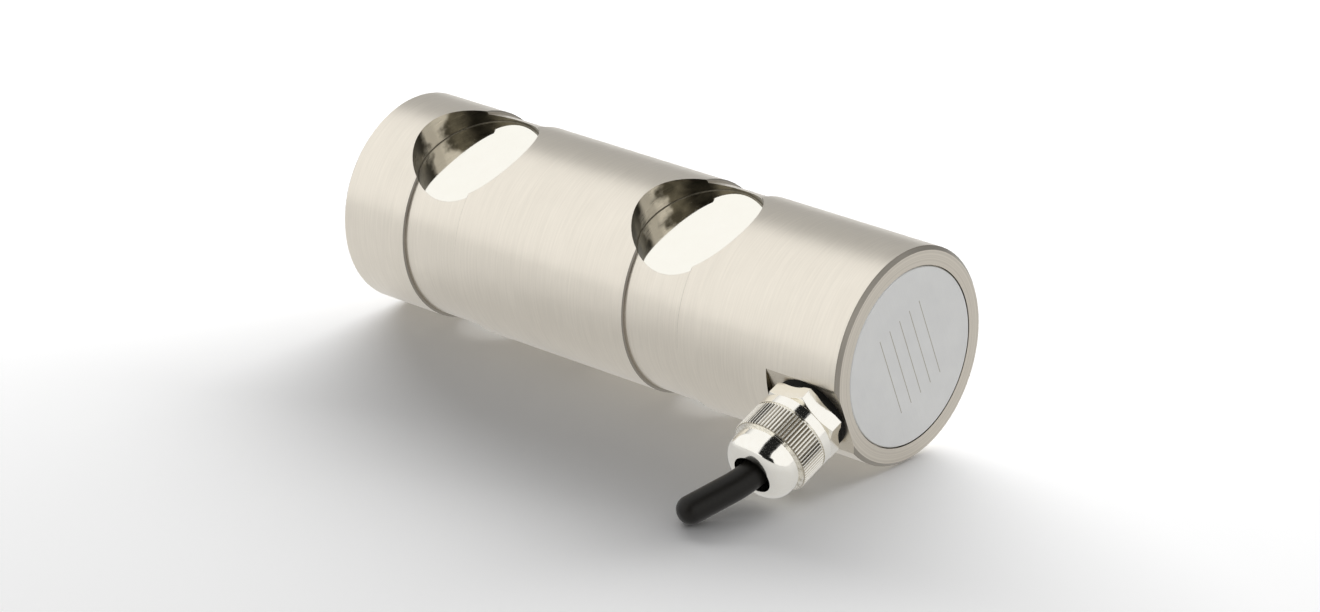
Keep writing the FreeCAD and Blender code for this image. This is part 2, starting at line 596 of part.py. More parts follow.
gland = gland_body_at("gland_body")
gland_profile = new_sketch(gland, "gland_profile", "XZ_Plane")
add_outline(gland_profile, [
    ("places.gland_bore", "places.gland_foot"),
    ("sizes.gland_thread / 2", "places.gland_foot"),
    ("sizes.gland_thread / 2", "places.hex_top"),
    ("sizes.cap_thread / 2", "places.hex_top"),
    ("sizes.cap_thread / 2", "places.gland_rim"),
    ("places.seal_seat_radius", "places.gland_rim"),
    ("places.seal_seat_radius", "places.seal_seat"),
    ("places.gland_bore", "places.seal_seat"),
])
revolve(gland, gland_profile, "V_Axis")
hexagon = new_sketch(gland, "hexagon", "XY_Plane", "places.gland_seat")
add_outline(hexagon, [
    (f"places.hex_corner * cos(sizes.gland_hex_turn + {corner * 60})",
     f"places.hex_corner * sin(sizes.gland_hex_turn + {corner * 60})")
    for corner in range(6)
])
add_circle(hexagon, "0", "0", "places.gland_bore")
pad(gland, hexagon, "sizes.gland_hex_height")
corner_chamfer = new_sketch(gland, "corner_chamfer", "XZ_Plane")
chamfer_reach = "(places.hex_corner + sizes.cut_margin)"
chamfer_fall = f"({chamfer_reach} - sizes.gland_hex / 2) * tan(sizes.gland_hex_chamfer)"
add_outline(corner_chamfer, [
    ("sizes.gland_hex / 2", "places.hex_top"),
    (chamfer_reach, "places.hex_top"),
    (chamfer_reach, f"places.hex_top - {chamfer_fall}"),
])
revolve(gland, corner_chamfer, "V_Axis", "Groove")

# The cable seal is a rubber sleeve. The clamping cage stands on the gland's rim round it,
# and the cap nut presses the fingers of the cage onto the sleeve.
seal = gland_body_at("cable_seal")
seal_profile = new_sketch(seal, "seal_profile", "XZ_Plane")
seal_radius = "places.seal_seat_radius - sizes.fit_gap"
seal_front_radius = "sizes.cap_mouth_diameter / 2 - sizes.fit_gap"
add_outline(seal_profile, [
    ("sizes.cable_diameter / 2", "places.seal_seat"),
    (seal_radius, "places.seal_seat"),
    (seal_radius, "places.gland_rim + sizes.cage_height"),
    (seal_front_radius, "places.gland_rim + sizes.cage_height"),
    (seal_front_radius, "places.seal_front"),
    ("sizes.cable_diameter / 2", "places.seal_front"),
])
revolve(seal, seal_profile, "V_Axis")

cage = gland_body_at("clamp_cage")
cage_profile = new_sketch(cage, "cage_profile", "XZ_Plane")
cage_radius = "sizes.cap_thread / 2 - sizes.fit_gap"
add_outline(cage_profile, [
    ("places.seal_seat_radius", "places.gland_rim"),
    (cage_radius, "places.gland_rim"),
    (cage_radius, "places.gland_rim + sizes.cage_height"),
    ("places.seal_seat_radius", "places.gland_rim + sizes.cage_height"),
])
revolve(cage, cage_profile, "V_Axis")
cage_slot = new_sketch(cage, "cage_slot", "XY_Plane", "places.gland_rim + sizes.cage_ring")
add_outline(cage_slot, [
    ("sizes.cap_mouth_diameter / 2", "-sizes.cage_slot / 2"),
    ("sizes.cap_thread / 2", "-sizes.cage_slot / 2"),
    ("sizes.cap_thread / 2", "sizes.cage_slot / 2"),
    ("sizes.cap_mouth_diameter / 2", "sizes.cage_slot / 2"),
])
slot_cut = cut(cage, cage_slot, backwards=True)
repeat_round(cage, slot_cut, "Z_Axis", "sizes.cage_fingers")

# The cap nut has a plain collar, a straight-knurled band, a smooth ring and a domed nose.
cap = gland_body_at("cap_nut")
cap_profile = new_sketch(cap, "cap_profile", "XZ_Plane")
cap_bore = "sizes.cap_thread / 2 + sizes.fit_gap"
cap_bore_top = "places.gland_rim + sizes.cage_height + sizes.fit_gap"
cap_radius = "places.cap_radius"
add_outline(cap_profile, [
    (cap_bore, "places.cap_foot"),
    (f"{cap_radius} - sizes.cap_edge_chamfer", "places.cap_foot"),
    (cap_radius, "places.cap_foot + sizes.cap_edge_chamfer"),
    (cap_radius, "places.knurl_foot - sizes.cap_groove"),
    (f"{cap_radius} - sizes.cap_groove", "places.knurl_foot - sizes.cap_groove"),
    (f"{cap_radius} - sizes.cap_groove", "places.knurl_foot"),
    (cap_radius, "places.knurl_foot"),
    (cap_radius, "places.knurl_top - sizes.cap_edge_chamfer"),
    (f"{cap_radius} - sizes.cap_edge_chamfer", "places.knurl_top"),
    ("places.cap_neck", "places.knurl_top"),
    ("places.cap_neck", "places.neck_top", "places.dome_radius", "left"),
    ("sizes.cap_mouth_diameter / 2", "places.cap_nose"),
    ("sizes.cap_mouth_diameter / 2", "places.cap_nose - sizes.cap_lip"),
    (cap_bore, cap_bore_top),
])
revolve(cap, cap_profile, "V_Axis")
flute = new_sketch(cap, "flute", "XY_Plane", "places.knurl_foot")
flute_root = f"{cap_radius} - sizes.knurl_depth"
flute_half = f"({cap_radius} * tan(180 / sizes.knurl_count) * sizes.knurl_share)"
add_outline(flute, [
    (flute_root, "0"),
    (cap_radius, f"-{flute_half}"),
    (f"{cap_radius} + sizes.knurl_depth", f"-{flute_half}"),
    (f"{cap_radius} + sizes.knurl_depth", flute_half),
    (cap_radius, flute_half),
])
flute_cut = cut(cap, flute, "sizes.knurl_length", backwards=True)
repeat_round(cap, flute_cut, "Z_Axis", "sizes.knurl_count")

# Cable
# A short length of four-core shielded cable. It leaves the gland, bends aside and comes to
# rest with its rounded end on the floor.


def cable_path(body, name, start, run):
    """Draws the line of the cable in the plane of its bend."""
    path = new_sketch(body, name, "XZ_Plane")
    path.AttachmentOffset = FreeCAD.Placement(Vector(), FreeCAD.Rotation(Vector(0, 1, 0), 1))
    path.setExpression("AttachmentOffset.Rotation.Angle", "sizes.cable_bend_turn")
    add_outline(path, [
        ("0", start),
        ("0", "places.seal_front", "sizes.cable_bend_radius", "right"),
        ("places.bend_side", "places.bend_end"),
        (f"places.bend_side + {run} * sin(sizes.cable_bend_angle)",
         f"places.bend_end + {run} * cos(sizes.cable_bend_angle)"),
    ], closed=False)
    return path


jacket = gland_body_at("cable_jacket")
jacket_path = cable_path(jacket, "jacket_path", "places.cable_start", "places.cable_run")
jacket_section = new_sketch(jacket, "jacket_section", "XY_Plane", "places.cable_start")
add_circle(jacket_section, "0", "0", "sizes.cable_diameter / 2")
jacket_tube = sweep(jacket, jacket_section, jacket_path)
doc.recompute()
heights = [edge.CenterOfMass.z for edge in jacket_tube.Shape.Edges]
tip_edge = heights.index(max(heights)) + 1
tip_round = jacket.newObject("PartDesign::Fillet", "tip_round")
tip_round.Base = (jacket_tube, [f"Edge{tip_edge}"])
tip_round.setExpression("Radius", "places.tip_round")
bore_path = cable_path(jacket, "bore_path", "places.cable_start", "places.core_run")
bore_section = new_sketch(jacket, "bore_section", "XY_Plane", "places.cable_start")
add_circle(bore_section, "0", "0", "places.shield_radius")
sweep(jacket, bore_section, bore_path, "SubtractivePipe")

shield = gland_body_at("cable_shield")
shield_start = "places.cable_start - sizes.shield_bare"
shield_path = cable_path(shield, "shield_path", shield_start, "places.core_run")
shield_section = new_sketch(shield, "shield_section", "XY_Plane", shield_start)
add_circle(shield_section, "0", "0", "places.shield_radius")
add_circle(shield_section, "0", "0", "places.shield_bore")
sweep(shield, shield_section, shield_path)


def core_shape(across, up, post):
    """Sweeps one core from its post, round two bends and down the cable.

    The shape is in the frame of the gland. Its corners in the cable keep the core's own
    distance from the middle line, so the bend there is wider or tighter by that much.
    """
    pitch = value("places.core_pitch") / math.sqrt(2)
    turn = math.radians(value("sizes.cable_bend_turn"))
    bend = math.radians(value("sizes.cable_bend_angle"))
    outwards = Vector(math.cos(turn), math.sin(turn), 0)
    offset = Vector(across * pitch, up * pitch, 0)
    post_top = value("places.board_front + sizes.post_height - places.gland_place")
    post_side = -post * value("sizes.post_spacing")
    entry = value("sizes.core_bend_radius")
    corner = Vector(offset.x, offset.y, post_side)
    post_point = Vector(post_top, offset.y, post_side)
    before_corner = corner.add(Vector(-entry, 0, 0))
    after_corner = corner.add(Vector(0, 0, entry))
    middle_of_corner = corner.add(Vector(-1, 0, 1).multiply(entry * (1 - math.sqrt(0.5))))
    radius = value("sizes.cable_bend_radius") - offset.dot(outwards)
    centre = offset.add(Vector(0, 0, value("places.seal_front"))).add(
        Vector(outwards).multiply(radius))

    def on_bend(angle):
        return centre.add(Vector(outwards).multiply(-radius * math.cos(angle))).add(
            Vector(0, 0, radius * math.sin(angle)))

    direction = Vector(outwards).multiply(math.sin(bend)).add(Vector(0, 0, math.cos(bend)))
    end = on_bend(bend).add(direction.multiply(value("places.core_run")))
    path = Part.Wire([
        Part.LineSegment(post_point, before_corner).toShape(),
        Part.Arc(before_corner, middle_of_corner, after_corner).toShape(),
        Part.LineSegment(after_corner, on_bend(0)).toShape(),
        Part.Arc(on_bend(0), on_bend(bend / 2), on_bend(bend)).toShape(),
        Part.LineSegment(on_bend(bend), end).toShape(),
    ])
    section = Part.Wire([
        Part.Circle(post_point, Vector(1, 0, 0), value("sizes.core_diameter / 2")).toShape()])
    return path.makePipeShell([section], True, True)


for name, across, up, post in CORES:
    core = doc.addObject("Part::Feature", name)
    core.Label = name
    core.Shape = core_shape(across, up, post)
    core.Placement = FreeCAD.Placement(Vector(), FreeCAD.Rotation(Vector(1, 0, 0), 1))
    core.setExpression("Placement.Rotation.Angle", GLAND_TURN)
    core.setExpression("Placement.Base.x", "places.gland_place")
    parts.append(core)

doc.recompute()

# Checks and files
LEAST_CUT = 1e-6

for thing in doc.Objects:
    faults = [word for word in ("Invalid", "Error") if word in thing.State]
    if faults:
        raise RuntimeError(f"{thing.Name} is {faults}")
    if thing.isDerivedFrom("PartDesign::Pocket") or thing.isDerivedFrom("PartDesign::Groove"):
        if thing.Shape.Volume > thing.BaseFeature.Shape.Volume - LEAST_CUT:
            raise RuntimeError(f"{thing.Name} cuts nothing")
for piece in parts:
    if piece.Shape.isNull() or not piece.Shape.isValid() or piece.Shape.Volume <= 0:
        raise RuntimeError(f"{piece.Label} has no sound shape")

os.makedirs("parts", exist_ok=True)
for piece in parts:
    piece.Shape.exportStep(f"parts/{piece.Label}.step")
    print(piece.Label, len(piece.Shape.Solids), round(piece.Shape.Volume, 2))
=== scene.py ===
# Shear pin load cell, dressed for the picture.
# The pin lies on its side with its cable gland towards -Y and down. +X runs along the pin to
# the end with the cable, +Z is up, and everything is in metres.
import math

import bmesh
import bpy
from mathutils import Matrix, Vector


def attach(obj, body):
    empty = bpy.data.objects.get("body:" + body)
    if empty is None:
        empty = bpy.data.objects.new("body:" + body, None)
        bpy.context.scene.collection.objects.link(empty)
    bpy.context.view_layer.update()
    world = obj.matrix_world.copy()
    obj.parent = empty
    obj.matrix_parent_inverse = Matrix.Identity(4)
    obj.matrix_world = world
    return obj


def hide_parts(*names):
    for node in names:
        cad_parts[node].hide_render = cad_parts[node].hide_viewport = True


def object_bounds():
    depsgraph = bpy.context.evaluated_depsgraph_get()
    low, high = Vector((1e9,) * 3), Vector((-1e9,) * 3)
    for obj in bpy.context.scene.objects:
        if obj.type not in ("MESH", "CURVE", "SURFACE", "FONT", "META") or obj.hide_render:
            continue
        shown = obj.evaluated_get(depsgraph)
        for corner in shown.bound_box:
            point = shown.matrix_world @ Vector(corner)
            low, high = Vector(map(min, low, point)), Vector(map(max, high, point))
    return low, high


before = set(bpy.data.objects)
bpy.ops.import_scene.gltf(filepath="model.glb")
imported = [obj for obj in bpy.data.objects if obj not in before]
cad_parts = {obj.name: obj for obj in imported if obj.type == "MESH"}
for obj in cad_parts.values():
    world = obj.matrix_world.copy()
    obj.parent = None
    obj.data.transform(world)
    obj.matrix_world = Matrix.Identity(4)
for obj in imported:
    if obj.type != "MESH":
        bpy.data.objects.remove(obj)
solid_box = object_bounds()

# Camera
# It looks down on the cable end of the pin from the side of the gland, through a long lens.
CAMERA_AZIMUTH = math.radians(41.60)
CAMERA_ELEVATION = math.radians(22.21)
CAMERA_DISTANCE = 1.0332
CAMERA_AIM = Vector((0.04442, -0.03306, 0.01031))
SENSOR_WIDTH = 36
LENS = 129.3

camera = bpy.data.objects.new("camera", bpy.data.cameras.new("camera"))
bpy.context.scene.collection.objects.link(camera)
camera_back = Vector((
    math.sin(CAMERA_AZIMUTH) * math.cos(CAMERA_ELEVATION),
    -math.cos(CAMERA_AZIMUTH) * math.cos(CAMERA_ELEVATION),
    math.sin(CAMERA_ELEVATION),
))
camera.location = CAMERA_AIM + camera_back * CAMERA_DISTANCE
camera.rotation_mode = "QUATERNION"
camera.rotation_quaternion = (-camera_back).to_track_quat("-Z", "Y")
camera.data.sensor_width = SENSOR_WIDTH
camera.data.lens = LENS
bpy.context.scene.camera = camera
bpy.context.scene.view_settings.view_transform = "Standard"

# Studio floor
# A sheet of matt white paper, far larger than the part. The eye sees it plain white with the
# shadow of the part on it, evenly white where it is far off, and bright metal mirrors it
# greyer, with that shadow softened.
FLOOR_REACH = 4.0
FLOOR_WHITE = "#FDFDFD"
FLOOR_BOUNCE = "#D8D8D8"
MIRRORED_GREY = "#DADADA"
MIRRORED_FILL = 0.75
EVEN_FROM = 0.30
EVEN_BEYOND = 0.75


def linear(colour):
    """Turns a colour written as #RRGGBB into the linear colour that a shader takes."""
    channels = [int(colour[place:place + 2], 16) / 255 for place in (1, 3, 5)]
    return (*[c / 12.92 if c <= 0.04045 else ((c + 0.055) / 1.055) ** 2.4 for c in channels], 1)


def add_node(tree, kind, inputs=None, **settings):
    """Adds a node. settings are its own, and inputs are values or outputs to link, by socket."""
    node = tree.nodes.new(kind)
    for name, setting in settings.items():
        setattr(node, name, setting)
    for socket, given in (inputs or {}).items():
        if isinstance(given, bpy.types.NodeSocket):
            tree.links.new(given, node.inputs[socket])
        else:
            node.inputs[socket].default_value = given
    return node


def new_material(name):
    """Starts a material and returns it with its empty tree."""
    material = bpy.data.materials.new(name)
    material.use_nodes = True
    material.node_tree.nodes.clear()
    return material, material.node_tree


def in_scene(name, mesh, *materials):
    """Makes an object of a mesh with its place in its points, at the origin and unturned."""
    piece = bpy.data.objects.new(name, mesh)
    bpy.context.scene.collection.objects.link(piece)
    for material in materials:
        mesh.materials.append(material)
    return piece


white_paper, tree = new_material("white_paper_floor")
rays = add_node(tree, "ShaderNodeLightPath")
mirrored = add_node(tree, "ShaderNodeMath", {
    0: rays.outputs["Is Glossy Ray"], 1: rays.outputs["Is Transmission Ray"]},
    operation="MAXIMUM")
seen = add_node(tree, "ShaderNodeMath", {
    0: rays.outputs["Is Camera Ray"], 1: mirrored.outputs[0]}, operation="MAXIMUM")
paper = add_node(tree, "ShaderNodeMix", {
    0: seen.outputs[0], 6: linear(FLOOR_BOUNCE), 7: linear(FLOOR_WHITE)}, data_type="RGBA")
matt = add_node(tree, "ShaderNodeBsdfDiffuse", {"Color": paper.outputs[2]})
glow = add_node(tree, "ShaderNodeEmission", {"Color": linear(MIRRORED_GREY)})
share = add_node(tree, "ShaderNodeMath", {
    0: mirrored.outputs[0], 1: MIRRORED_FILL}, operation="MULTIPLY")
sheet = add_node(tree, "ShaderNodeMixShader", {
    0: share.outputs[0], 1: matt.outputs[0], 2: glow.outputs[0]})
place = add_node(tree, "ShaderNodeTexCoord")
distance = add_node(tree, "ShaderNodeVectorMath", {0: place.outputs["Object"]}, operation="LENGTH")
far_off = add_node(tree, "ShaderNodeMapRange", {
    "Value": distance.outputs["Value"], "From Min": EVEN_FROM, "From Max": EVEN_BEYOND},
    interpolation_type="SMOOTHSTEP")
even = add_node(tree, "ShaderNodeMath", {
    0: rays.outputs["Is Camera Ray"], 1: far_off.outputs[0]}, operation="MULTIPLY")
bright = add_node(tree, "ShaderNodeEmission", {"Color": linear(FLOOR_WHITE)})
sheet = add_node(tree, "ShaderNodeMixShader", {
    0: even.outputs[0], 1: sheet.outputs[0], 2: bright.outputs[0]})
add_node(tree, "ShaderNodeOutputMaterial", {"Surface": sheet.outputs[0]})

floor_mesh = bpy.data.meshes.new("studio_floor")
shape = bmesh.new()
bmesh.ops.create_circle(shape, cap_ends=True, segments=64, radius=FLOOR_REACH)
bmesh.ops.translate(shape, verts=shape.verts, vec=(0, 0, solid_box[0].z))
shape.to_mesh(floor_mesh)
shape.free()
in_scene("studio_floor", floor_mesh, white_paper)

# Studio light
# The room is white, and a wide soft box stands behind the part. The eye and bright metal
# see the room as it is, and matt matter gets its plain fill.
ROOM_FILL = 0.27
KEY_PLACE = Vector((-0.5, 1.05, 0.55))
KEY_WIDTH = 2.6
KEY_HEIGHT = 0.8
KEY_POWER = 50.0

world = bpy.data.worlds.new("studio")
bpy.context.scene.world = world
world.use_nodes = True
tree = world.node_tree
tree.nodes.clear()
rays = add_node(tree, "ShaderNodeLightPath")
seen = add_node(tree, "ShaderNodeMath", {
    0: rays.outputs["Is Camera Ray"], 1: rays.outputs["Is Glossy Ray"]}, operation="MAXIMUM")
seen = add_node(tree, "ShaderNodeMath", {
    0: seen.outputs[0], 1: rays.outputs["Is Transmission Ray"]}, operation="MAXIMUM")
fill = add_node(tree, "ShaderNodeBackground", {"Color": (1, 1, 1, 1), "Strength": ROOM_FILL})
white = add_node(tree, "ShaderNodeBackground", {"Color": (1, 1, 1, 1), "Strength": 1.0})
studio = add_node(tree, "ShaderNodeMixShader", {
    0: seen.outputs[0], 1: fill.outputs[0], 2: white.outputs[0]})
add_node(tree, "ShaderNodeOutputWorld", {"Surface": studio.outputs[0]})

key = bpy.data.objects.new("soft_box", bpy.data.lights.new("soft_box", "AREA"))
bpy.context.scene.collection.objects.link(key)
key.data.shape = "RECTANGLE"
key.data.size = KEY_WIDTH
key.data.size_y = KEY_HEIGHT
key.data.energy = KEY_POWER
key.location = KEY_PLACE
key.rotation_mode = "QUATERNION"
key.rotation_quaternion = (-KEY_PLACE).to_track_quat("-Z", "Y")
key.visible_glossy = False
key.visible_camera = False

# Studio flags
# A black band arches over the part from back to front, a black board stands low in front, and
# a grey sheet hangs behind. They are out of the picture. Bright metal mirrors them, which
# gives it its dark bands.
BAND_AXIS = Vector((0.89, 0.203, -0.408)).normalized()
BAND_REACH = 2.6
BAND_HALF_ANGLE = math.radians(15.5)
BAND_BACK = math.radians(-25)
BAND_FRONT = math.radians(88)
BOARD_REACH = 2.5
BOARD_LEFT = math.radians(-82)
BOARD_RIGHT = math.radians(-41)
BOARD_LOW = math.radians(-1)
BOARD_HIGH = math.radians(17)
SHEET_AXIS = Vector((-0.25, 0.97, 0)).normalized()
SHEET_REACH = 3.2
SHEET_EDGE = math.radians(67)
SHEET_FULL = math.radians(53)
BLACK_CLOTH = 0.015
GREY_CLOTH = 0.47
FLAG_STEPS = 32
UP = Vector((0, 0, 1))


def hang_flag(name, points, axis, angle, cloth):
    """Turns a row of points about an axis into a curved flag that only mirrors show."""
    shape = bmesh.new()
    row = [shape.verts.new(point) for point in points]
    edges = [shape.edges.new(pair) for pair in zip(row, row[1:])]
    bmesh.ops.spin(
        shape, geom=row + edges, axis=axis, cent=(0, 0, 0), angle=angle, steps=FLAG_STEPS)
    mesh = bpy.data.meshes.new(name)
    shape.to_mesh(mesh)
    shape.free()
    flag = in_scene(name, mesh, cloth)
    flag.visible_camera = False
    flag.visible_diffuse = False
    flag.visible_shadow = False


black_cloth, tree = new_material("black_flag_cloth")
cloth = add_node(tree, "ShaderNodeEmission", {"Color": (BLACK_CLOTH, BLACK_CLOTH, BLACK_CLOTH, 1)})
add_node(tree, "ShaderNodeOutputMaterial", {"Surface": cloth.outputs[0]})

grey_cloth, tree = new_material("grey_sheet_cloth")
place = add_node(tree, "ShaderNodeTexCoord")
way = add_node(tree, "ShaderNodeVectorMath", {0: place.outputs["Object"]}, operation="NORMALIZE")
nearness = add_node(tree, "ShaderNodeVectorMath", {
    0: way.outputs[0], 1: SHEET_AXIS}, operation="DOT_PRODUCT")
shade = add_node(tree, "ShaderNodeMapRange", {
    "Value": nearness.outputs["Value"], "From Min": math.cos(SHEET_EDGE),
    "From Max": math.cos(SHEET_FULL), "To Min": 1.0, "To Max": GREY_CLOTH},
    interpolation_type="SMOOTHSTEP")
cloth = add_node(tree, "ShaderNodeEmission", {
    "Color": (1, 1, 1, 1), "Strength": shade.outputs[0]})
add_node(tree, "ShaderNodeOutputMaterial", {"Surface": cloth.outputs[0]})

band_top = (UP - BAND_AXIS * BAND_AXIS.z).normalized()
band_start = Matrix.Rotation(BAND_BACK, 3, BAND_AXIS) @ band_top
hang_flag("black_band", [
    BAND_REACH * (math.cos(BAND_HALF_ANGLE) * band_start
                  + math.sin(side * BAND_HALF_ANGLE) * BAND_AXIS)
    for side in (-1, 1)
], BAND_AXIS, BAND_FRONT - BAND_BACK, black_cloth)
board_start = Vector((math.cos(BOARD_LEFT), math.sin(BOARD_LEFT), 0))
hang_flag("black_board", [
    BOARD_REACH * (math.cos(height) * board_start + math.sin(height) * UP)
    for height in (BOARD_LOW, BOARD_HIGH)
], UP, BOARD_RIGHT - BOARD_LEFT, black_cloth)
sheet_side = SHEET_AXIS.cross(UP)
hang_flag("grey_sheet", [
    SHEET_REACH * (math.cos(angle) * SHEET_AXIS + math.sin(angle) * sheet_side)
    for angle in (SHEET_EDGE * step / FLAG_STEPS for step in range(FLAG_STEPS + 1))
], SHEET_AXIS, -math.pi, grey_cloth)

# Pin
# One bar of stainless steel, turned, milled and then ground round. The wheel leaves fine
# marks round the lands, so they shine like satin in a warm grey. The ends keep the duller
# marks of the lathe, partly darkened with painted shade, and the recesses and the gland's flat
# the marks of the mill, with painted shade in the recesses and a painted highlight on one
# stretch of each recess wall and on the flat.
MM = 0.001
ROLL = math.radians(22.5)
STATION = 34 * MM
NECK_REACH = 8.4 * MM
GLAND_FLAT_FLOOR = 68.1 * MM
NEAR_END_CUTS = 87 * MM
FAR_END_CUTS = -55 * MM
LEAST_BAR_RADIUS = 24.1 * MM
EDGE_BREAK = 0.12 * MM
TOOL_MARK_DEPTH = 0.02 * MM
NOISE_LOW = 0.3
NOISE_HIGH = 0.7

# The marks of a grinding wheel: long soft streaks round the bar, drawn wider than the grit
# would leave them, so that they show, with faint clouds among them.
GRIND_MARK = 0.5 * MM
GRIND_RUN = 12 * MM
GRIND_CLOUD = 9 * MM
GROUND_DARK = "#E5DED1"
GROUND_LIGHT = "#F4EDE0"

ground_steel, tree = new_material("ground_stainless_steel")
place = add_node(tree, "ShaderNodeTexCoord")
marks_map = add_node(tree, "ShaderNodeMapping", {
    "Vector": place.outputs["Object"],
    "Scale": (1 / GRIND_MARK, 1 / GRIND_RUN, 1 / GRIND_RUN)})
marks = add_node(tree, "ShaderNodeTexNoise", {
    "Vector": marks_map.outputs[0], "Scale": 1.0, "Detail": 3.0, "Roughness": 0.6})
streaks = add_node(tree, "ShaderNodeMapRange", {
    "Value": marks.outputs["Fac"], "From Min": NOISE_LOW, "From Max": NOISE_HIGH})
clouds = add_node(tree, "ShaderNodeTexNoise", {
    "Vector": place.outputs["Object"], "Scale": 1 / GRIND_CLOUD, "Detail": 3.0})
cloudy_streaks = add_node(tree, "ShaderNodeMix", {
    0: 0.5, 2: clouds.outputs["Fac"], 3: streaks.outputs[0]})
tone = add_node(tree, "ShaderNodeMix", {
    0: cloudy_streaks.outputs[0], 6: linear(GROUND_DARK), 7: linear(GROUND_LIGHT)},
    data_type="RGBA")
shine = add_node(tree, "ShaderNodeMapRange", {
    "Value": streaks.outputs[0], "To Min": 0.31, "To Max": 0.33})
edges = add_node(tree, "ShaderNodeBevel", {"Radius": EDGE_BREAK}, samples=4)
relief = add_node(tree, "ShaderNodeBump", {
    "Height": marks.outputs["Fac"], "Strength": 0.15, "Distance": TOOL_MARK_DEPTH,
    "Normal": edges.outputs[0]})
steel = add_node(tree, "ShaderNodeBsdfPrincipled", {
    "Base Color": tone.outputs[2], "Metallic": 1.0, "Roughness": shine.outputs[0],
    "Normal": relief.outputs[0]})
add_node(tree, "ShaderNodeOutputMaterial", {"Surface": steel.outputs[0]})

# The marks of a lathe on an end face: fine rings round the pin's axis, dull and darker, partly
# from that finish and partly as painted shade. The chamfers and the shoulders of the necked
# sections are darker still, which is painted shade. The rings are drawn wider than the tool
# leaves them, so that they show.
LATHE_MARK = 0.45 * MM
# Partly painted shade: the faced tone is set darker than the ground lands.
FACED_DARK = "#CAC3B7"
FACED_LIGHT = "#D9D2C6"
# Painted shade: the darker tone of the chamfers and the shoulders of the necks.
SHADED_EDGE_DARK = "#9C968C"
SHADED_EDGE_LIGHT = "#ABA59B"

faced_steel, tree = new_material("faced_stainless_steel")
place = add_node(tree, "ShaderNodeTexCoord")
split = add_node(tree, "ShaderNodeSeparateXYZ", {"Vector": place.outputs["Object"]})
across = add_node(tree, "ShaderNodeCombineXYZ", {
    "Y": split.outputs["Y"], "Z": split.outputs["Z"]})
radius = add_node(tree, "ShaderNodeVectorMath", {0: across.outputs[0]}, operation="LENGTH")
rings = add_node(tree, "ShaderNodeMath", {
    0: radius.outputs["Value"], 1: 1 / LATHE_MARK}, operation="MULTIPLY")
marks = add_node(tree, "ShaderNodeTexNoise", {
    "W": rings.outputs[0], "Scale": 1.0, "Detail": 2.0}, noise_dimensions="1D")
turning = add_node(tree, "ShaderNodeMapRange", {
    "Value": marks.outputs["Fac"], "From Min": NOISE_LOW, "From Max": NOISE_HIGH})
faced_tone = add_node(tree, "ShaderNodeMix", {
    0: turning.outputs[0], 6: linear(FACED_DARK), 7: linear(FACED_LIGHT)}, data_type="RGBA")
painted_edge_shade = add_node(tree, "ShaderNodeMix", {
    0: turning.outputs[0], 6: linear(SHADED_EDGE_DARK), 7: linear(SHADED_EDGE_LIGHT)}, data_type="RGBA")
# Painted shade on the chamfers and shoulders, out past the least radius of the bar.
painted_shade_at_edge = add_node(tree, "ShaderNodeMath", {
    0: radius.outputs["Value"], 1: LEAST_BAR_RADIUS}, operation="GREATER_THAN")
tone = add_node(tree, "ShaderNodeMix", {
    0: painted_shade_at_edge.outputs[0], 6: faced_tone.outputs[2], 7: painted_edge_shade.outputs[2]},
    data_type="RGBA")
shine = add_node(tree, "ShaderNodeMapRange", {
    "Value": turning.outputs[0], "To Min": 0.35, "To Max": 0.4})
edges = add_node(tree, "ShaderNodeBevel", {"Radius": EDGE_BREAK}, samples=4)
relief = add_node(tree, "ShaderNodeBump", {
    "Height": marks.outputs["Fac"], "Strength": 0.2, "Distance": TOOL_MARK_DEPTH,
    "Normal": edges.outputs[0]})
steel = add_node(tree, "ShaderNodeBsdfPrincipled", {
    "Base Color": tone.outputs[2], "Metallic": 1.0, "Roughness": shine.outputs[0],
    "Normal": relief.outputs[0]})
add_node(tree, "ShaderNodeOutputMaterial", {"Surface": steel.outputs[0]})

# The marks of a mill in a recess: fine rings down the wall, drawn wide enough to show. The
# walls are painted dark in blotches, as painted shade in the recess. One stretch of each wall
# is painted bright as a painted highlight, and the gland's flat is painted bright too.
MILL_MARK = 0.25 * MM
MILL_RUN = 6 * MM
SHADE_PATCH = 5 * MM
# Painted shade: the dark, blotched tone of the recess walls.
RECESS_SHADE_DARK = "#4B463A"
RECESS_SHADE_LIGHT = "#716A59"
# Painted highlight: the bright tone of one stretch of each wall and of the gland's flat.
PAINTED_BRIGHT_STEEL = "#D2CABB"
HIGHLIGHT_AT = math.radians(177)
HIGHLIGHT_FULL = math.radians(3)
HIGHLIGHT_EDGE = math.radians(20)
HIGHLIGHT_RAGGED = 0.2

milled_steel, tree = new_material("milled_stainless_steel")
place = add_node(tree, "ShaderNodeTexCoord")
upright = add_node(tree, "ShaderNodeMapping", {
    "Vector": place.outputs["Object"], "Rotation": (-ROLL, 0, 0)})
marks_map = add_node(tree, "ShaderNodeMapping", {
    "Vector": upright.outputs[0], "Scale": (1 / MILL_RUN, 1 / MILL_RUN, 1 / MILL_MARK)})
marks = add_node(tree, "ShaderNodeTexNoise", {
    "Vector": marks_map.outputs[0], "Scale": 1.0, "Detail": 3.0})
patches = add_node(tree, "ShaderNodeTexNoise", {
    "Vector": place.outputs["Object"], "Scale": 1 / SHADE_PATCH, "Detail": 4.0})
shade_blend = add_node(tree, "ShaderNodeMapRange", {
    "Value": patches.outputs["Fac"], "From Min": 0.4, "From Max": 0.6})
painted_recess_shade = add_node(tree, "ShaderNodeMix", {
    0: shade_blend.outputs[0], 6: linear(RECESS_SHADE_DARK), 7: linear(RECESS_SHADE_LIGHT)}, data_type="RGBA")
split = add_node(tree, "ShaderNodeSeparateXYZ", {"Vector": upright.outputs[0]})
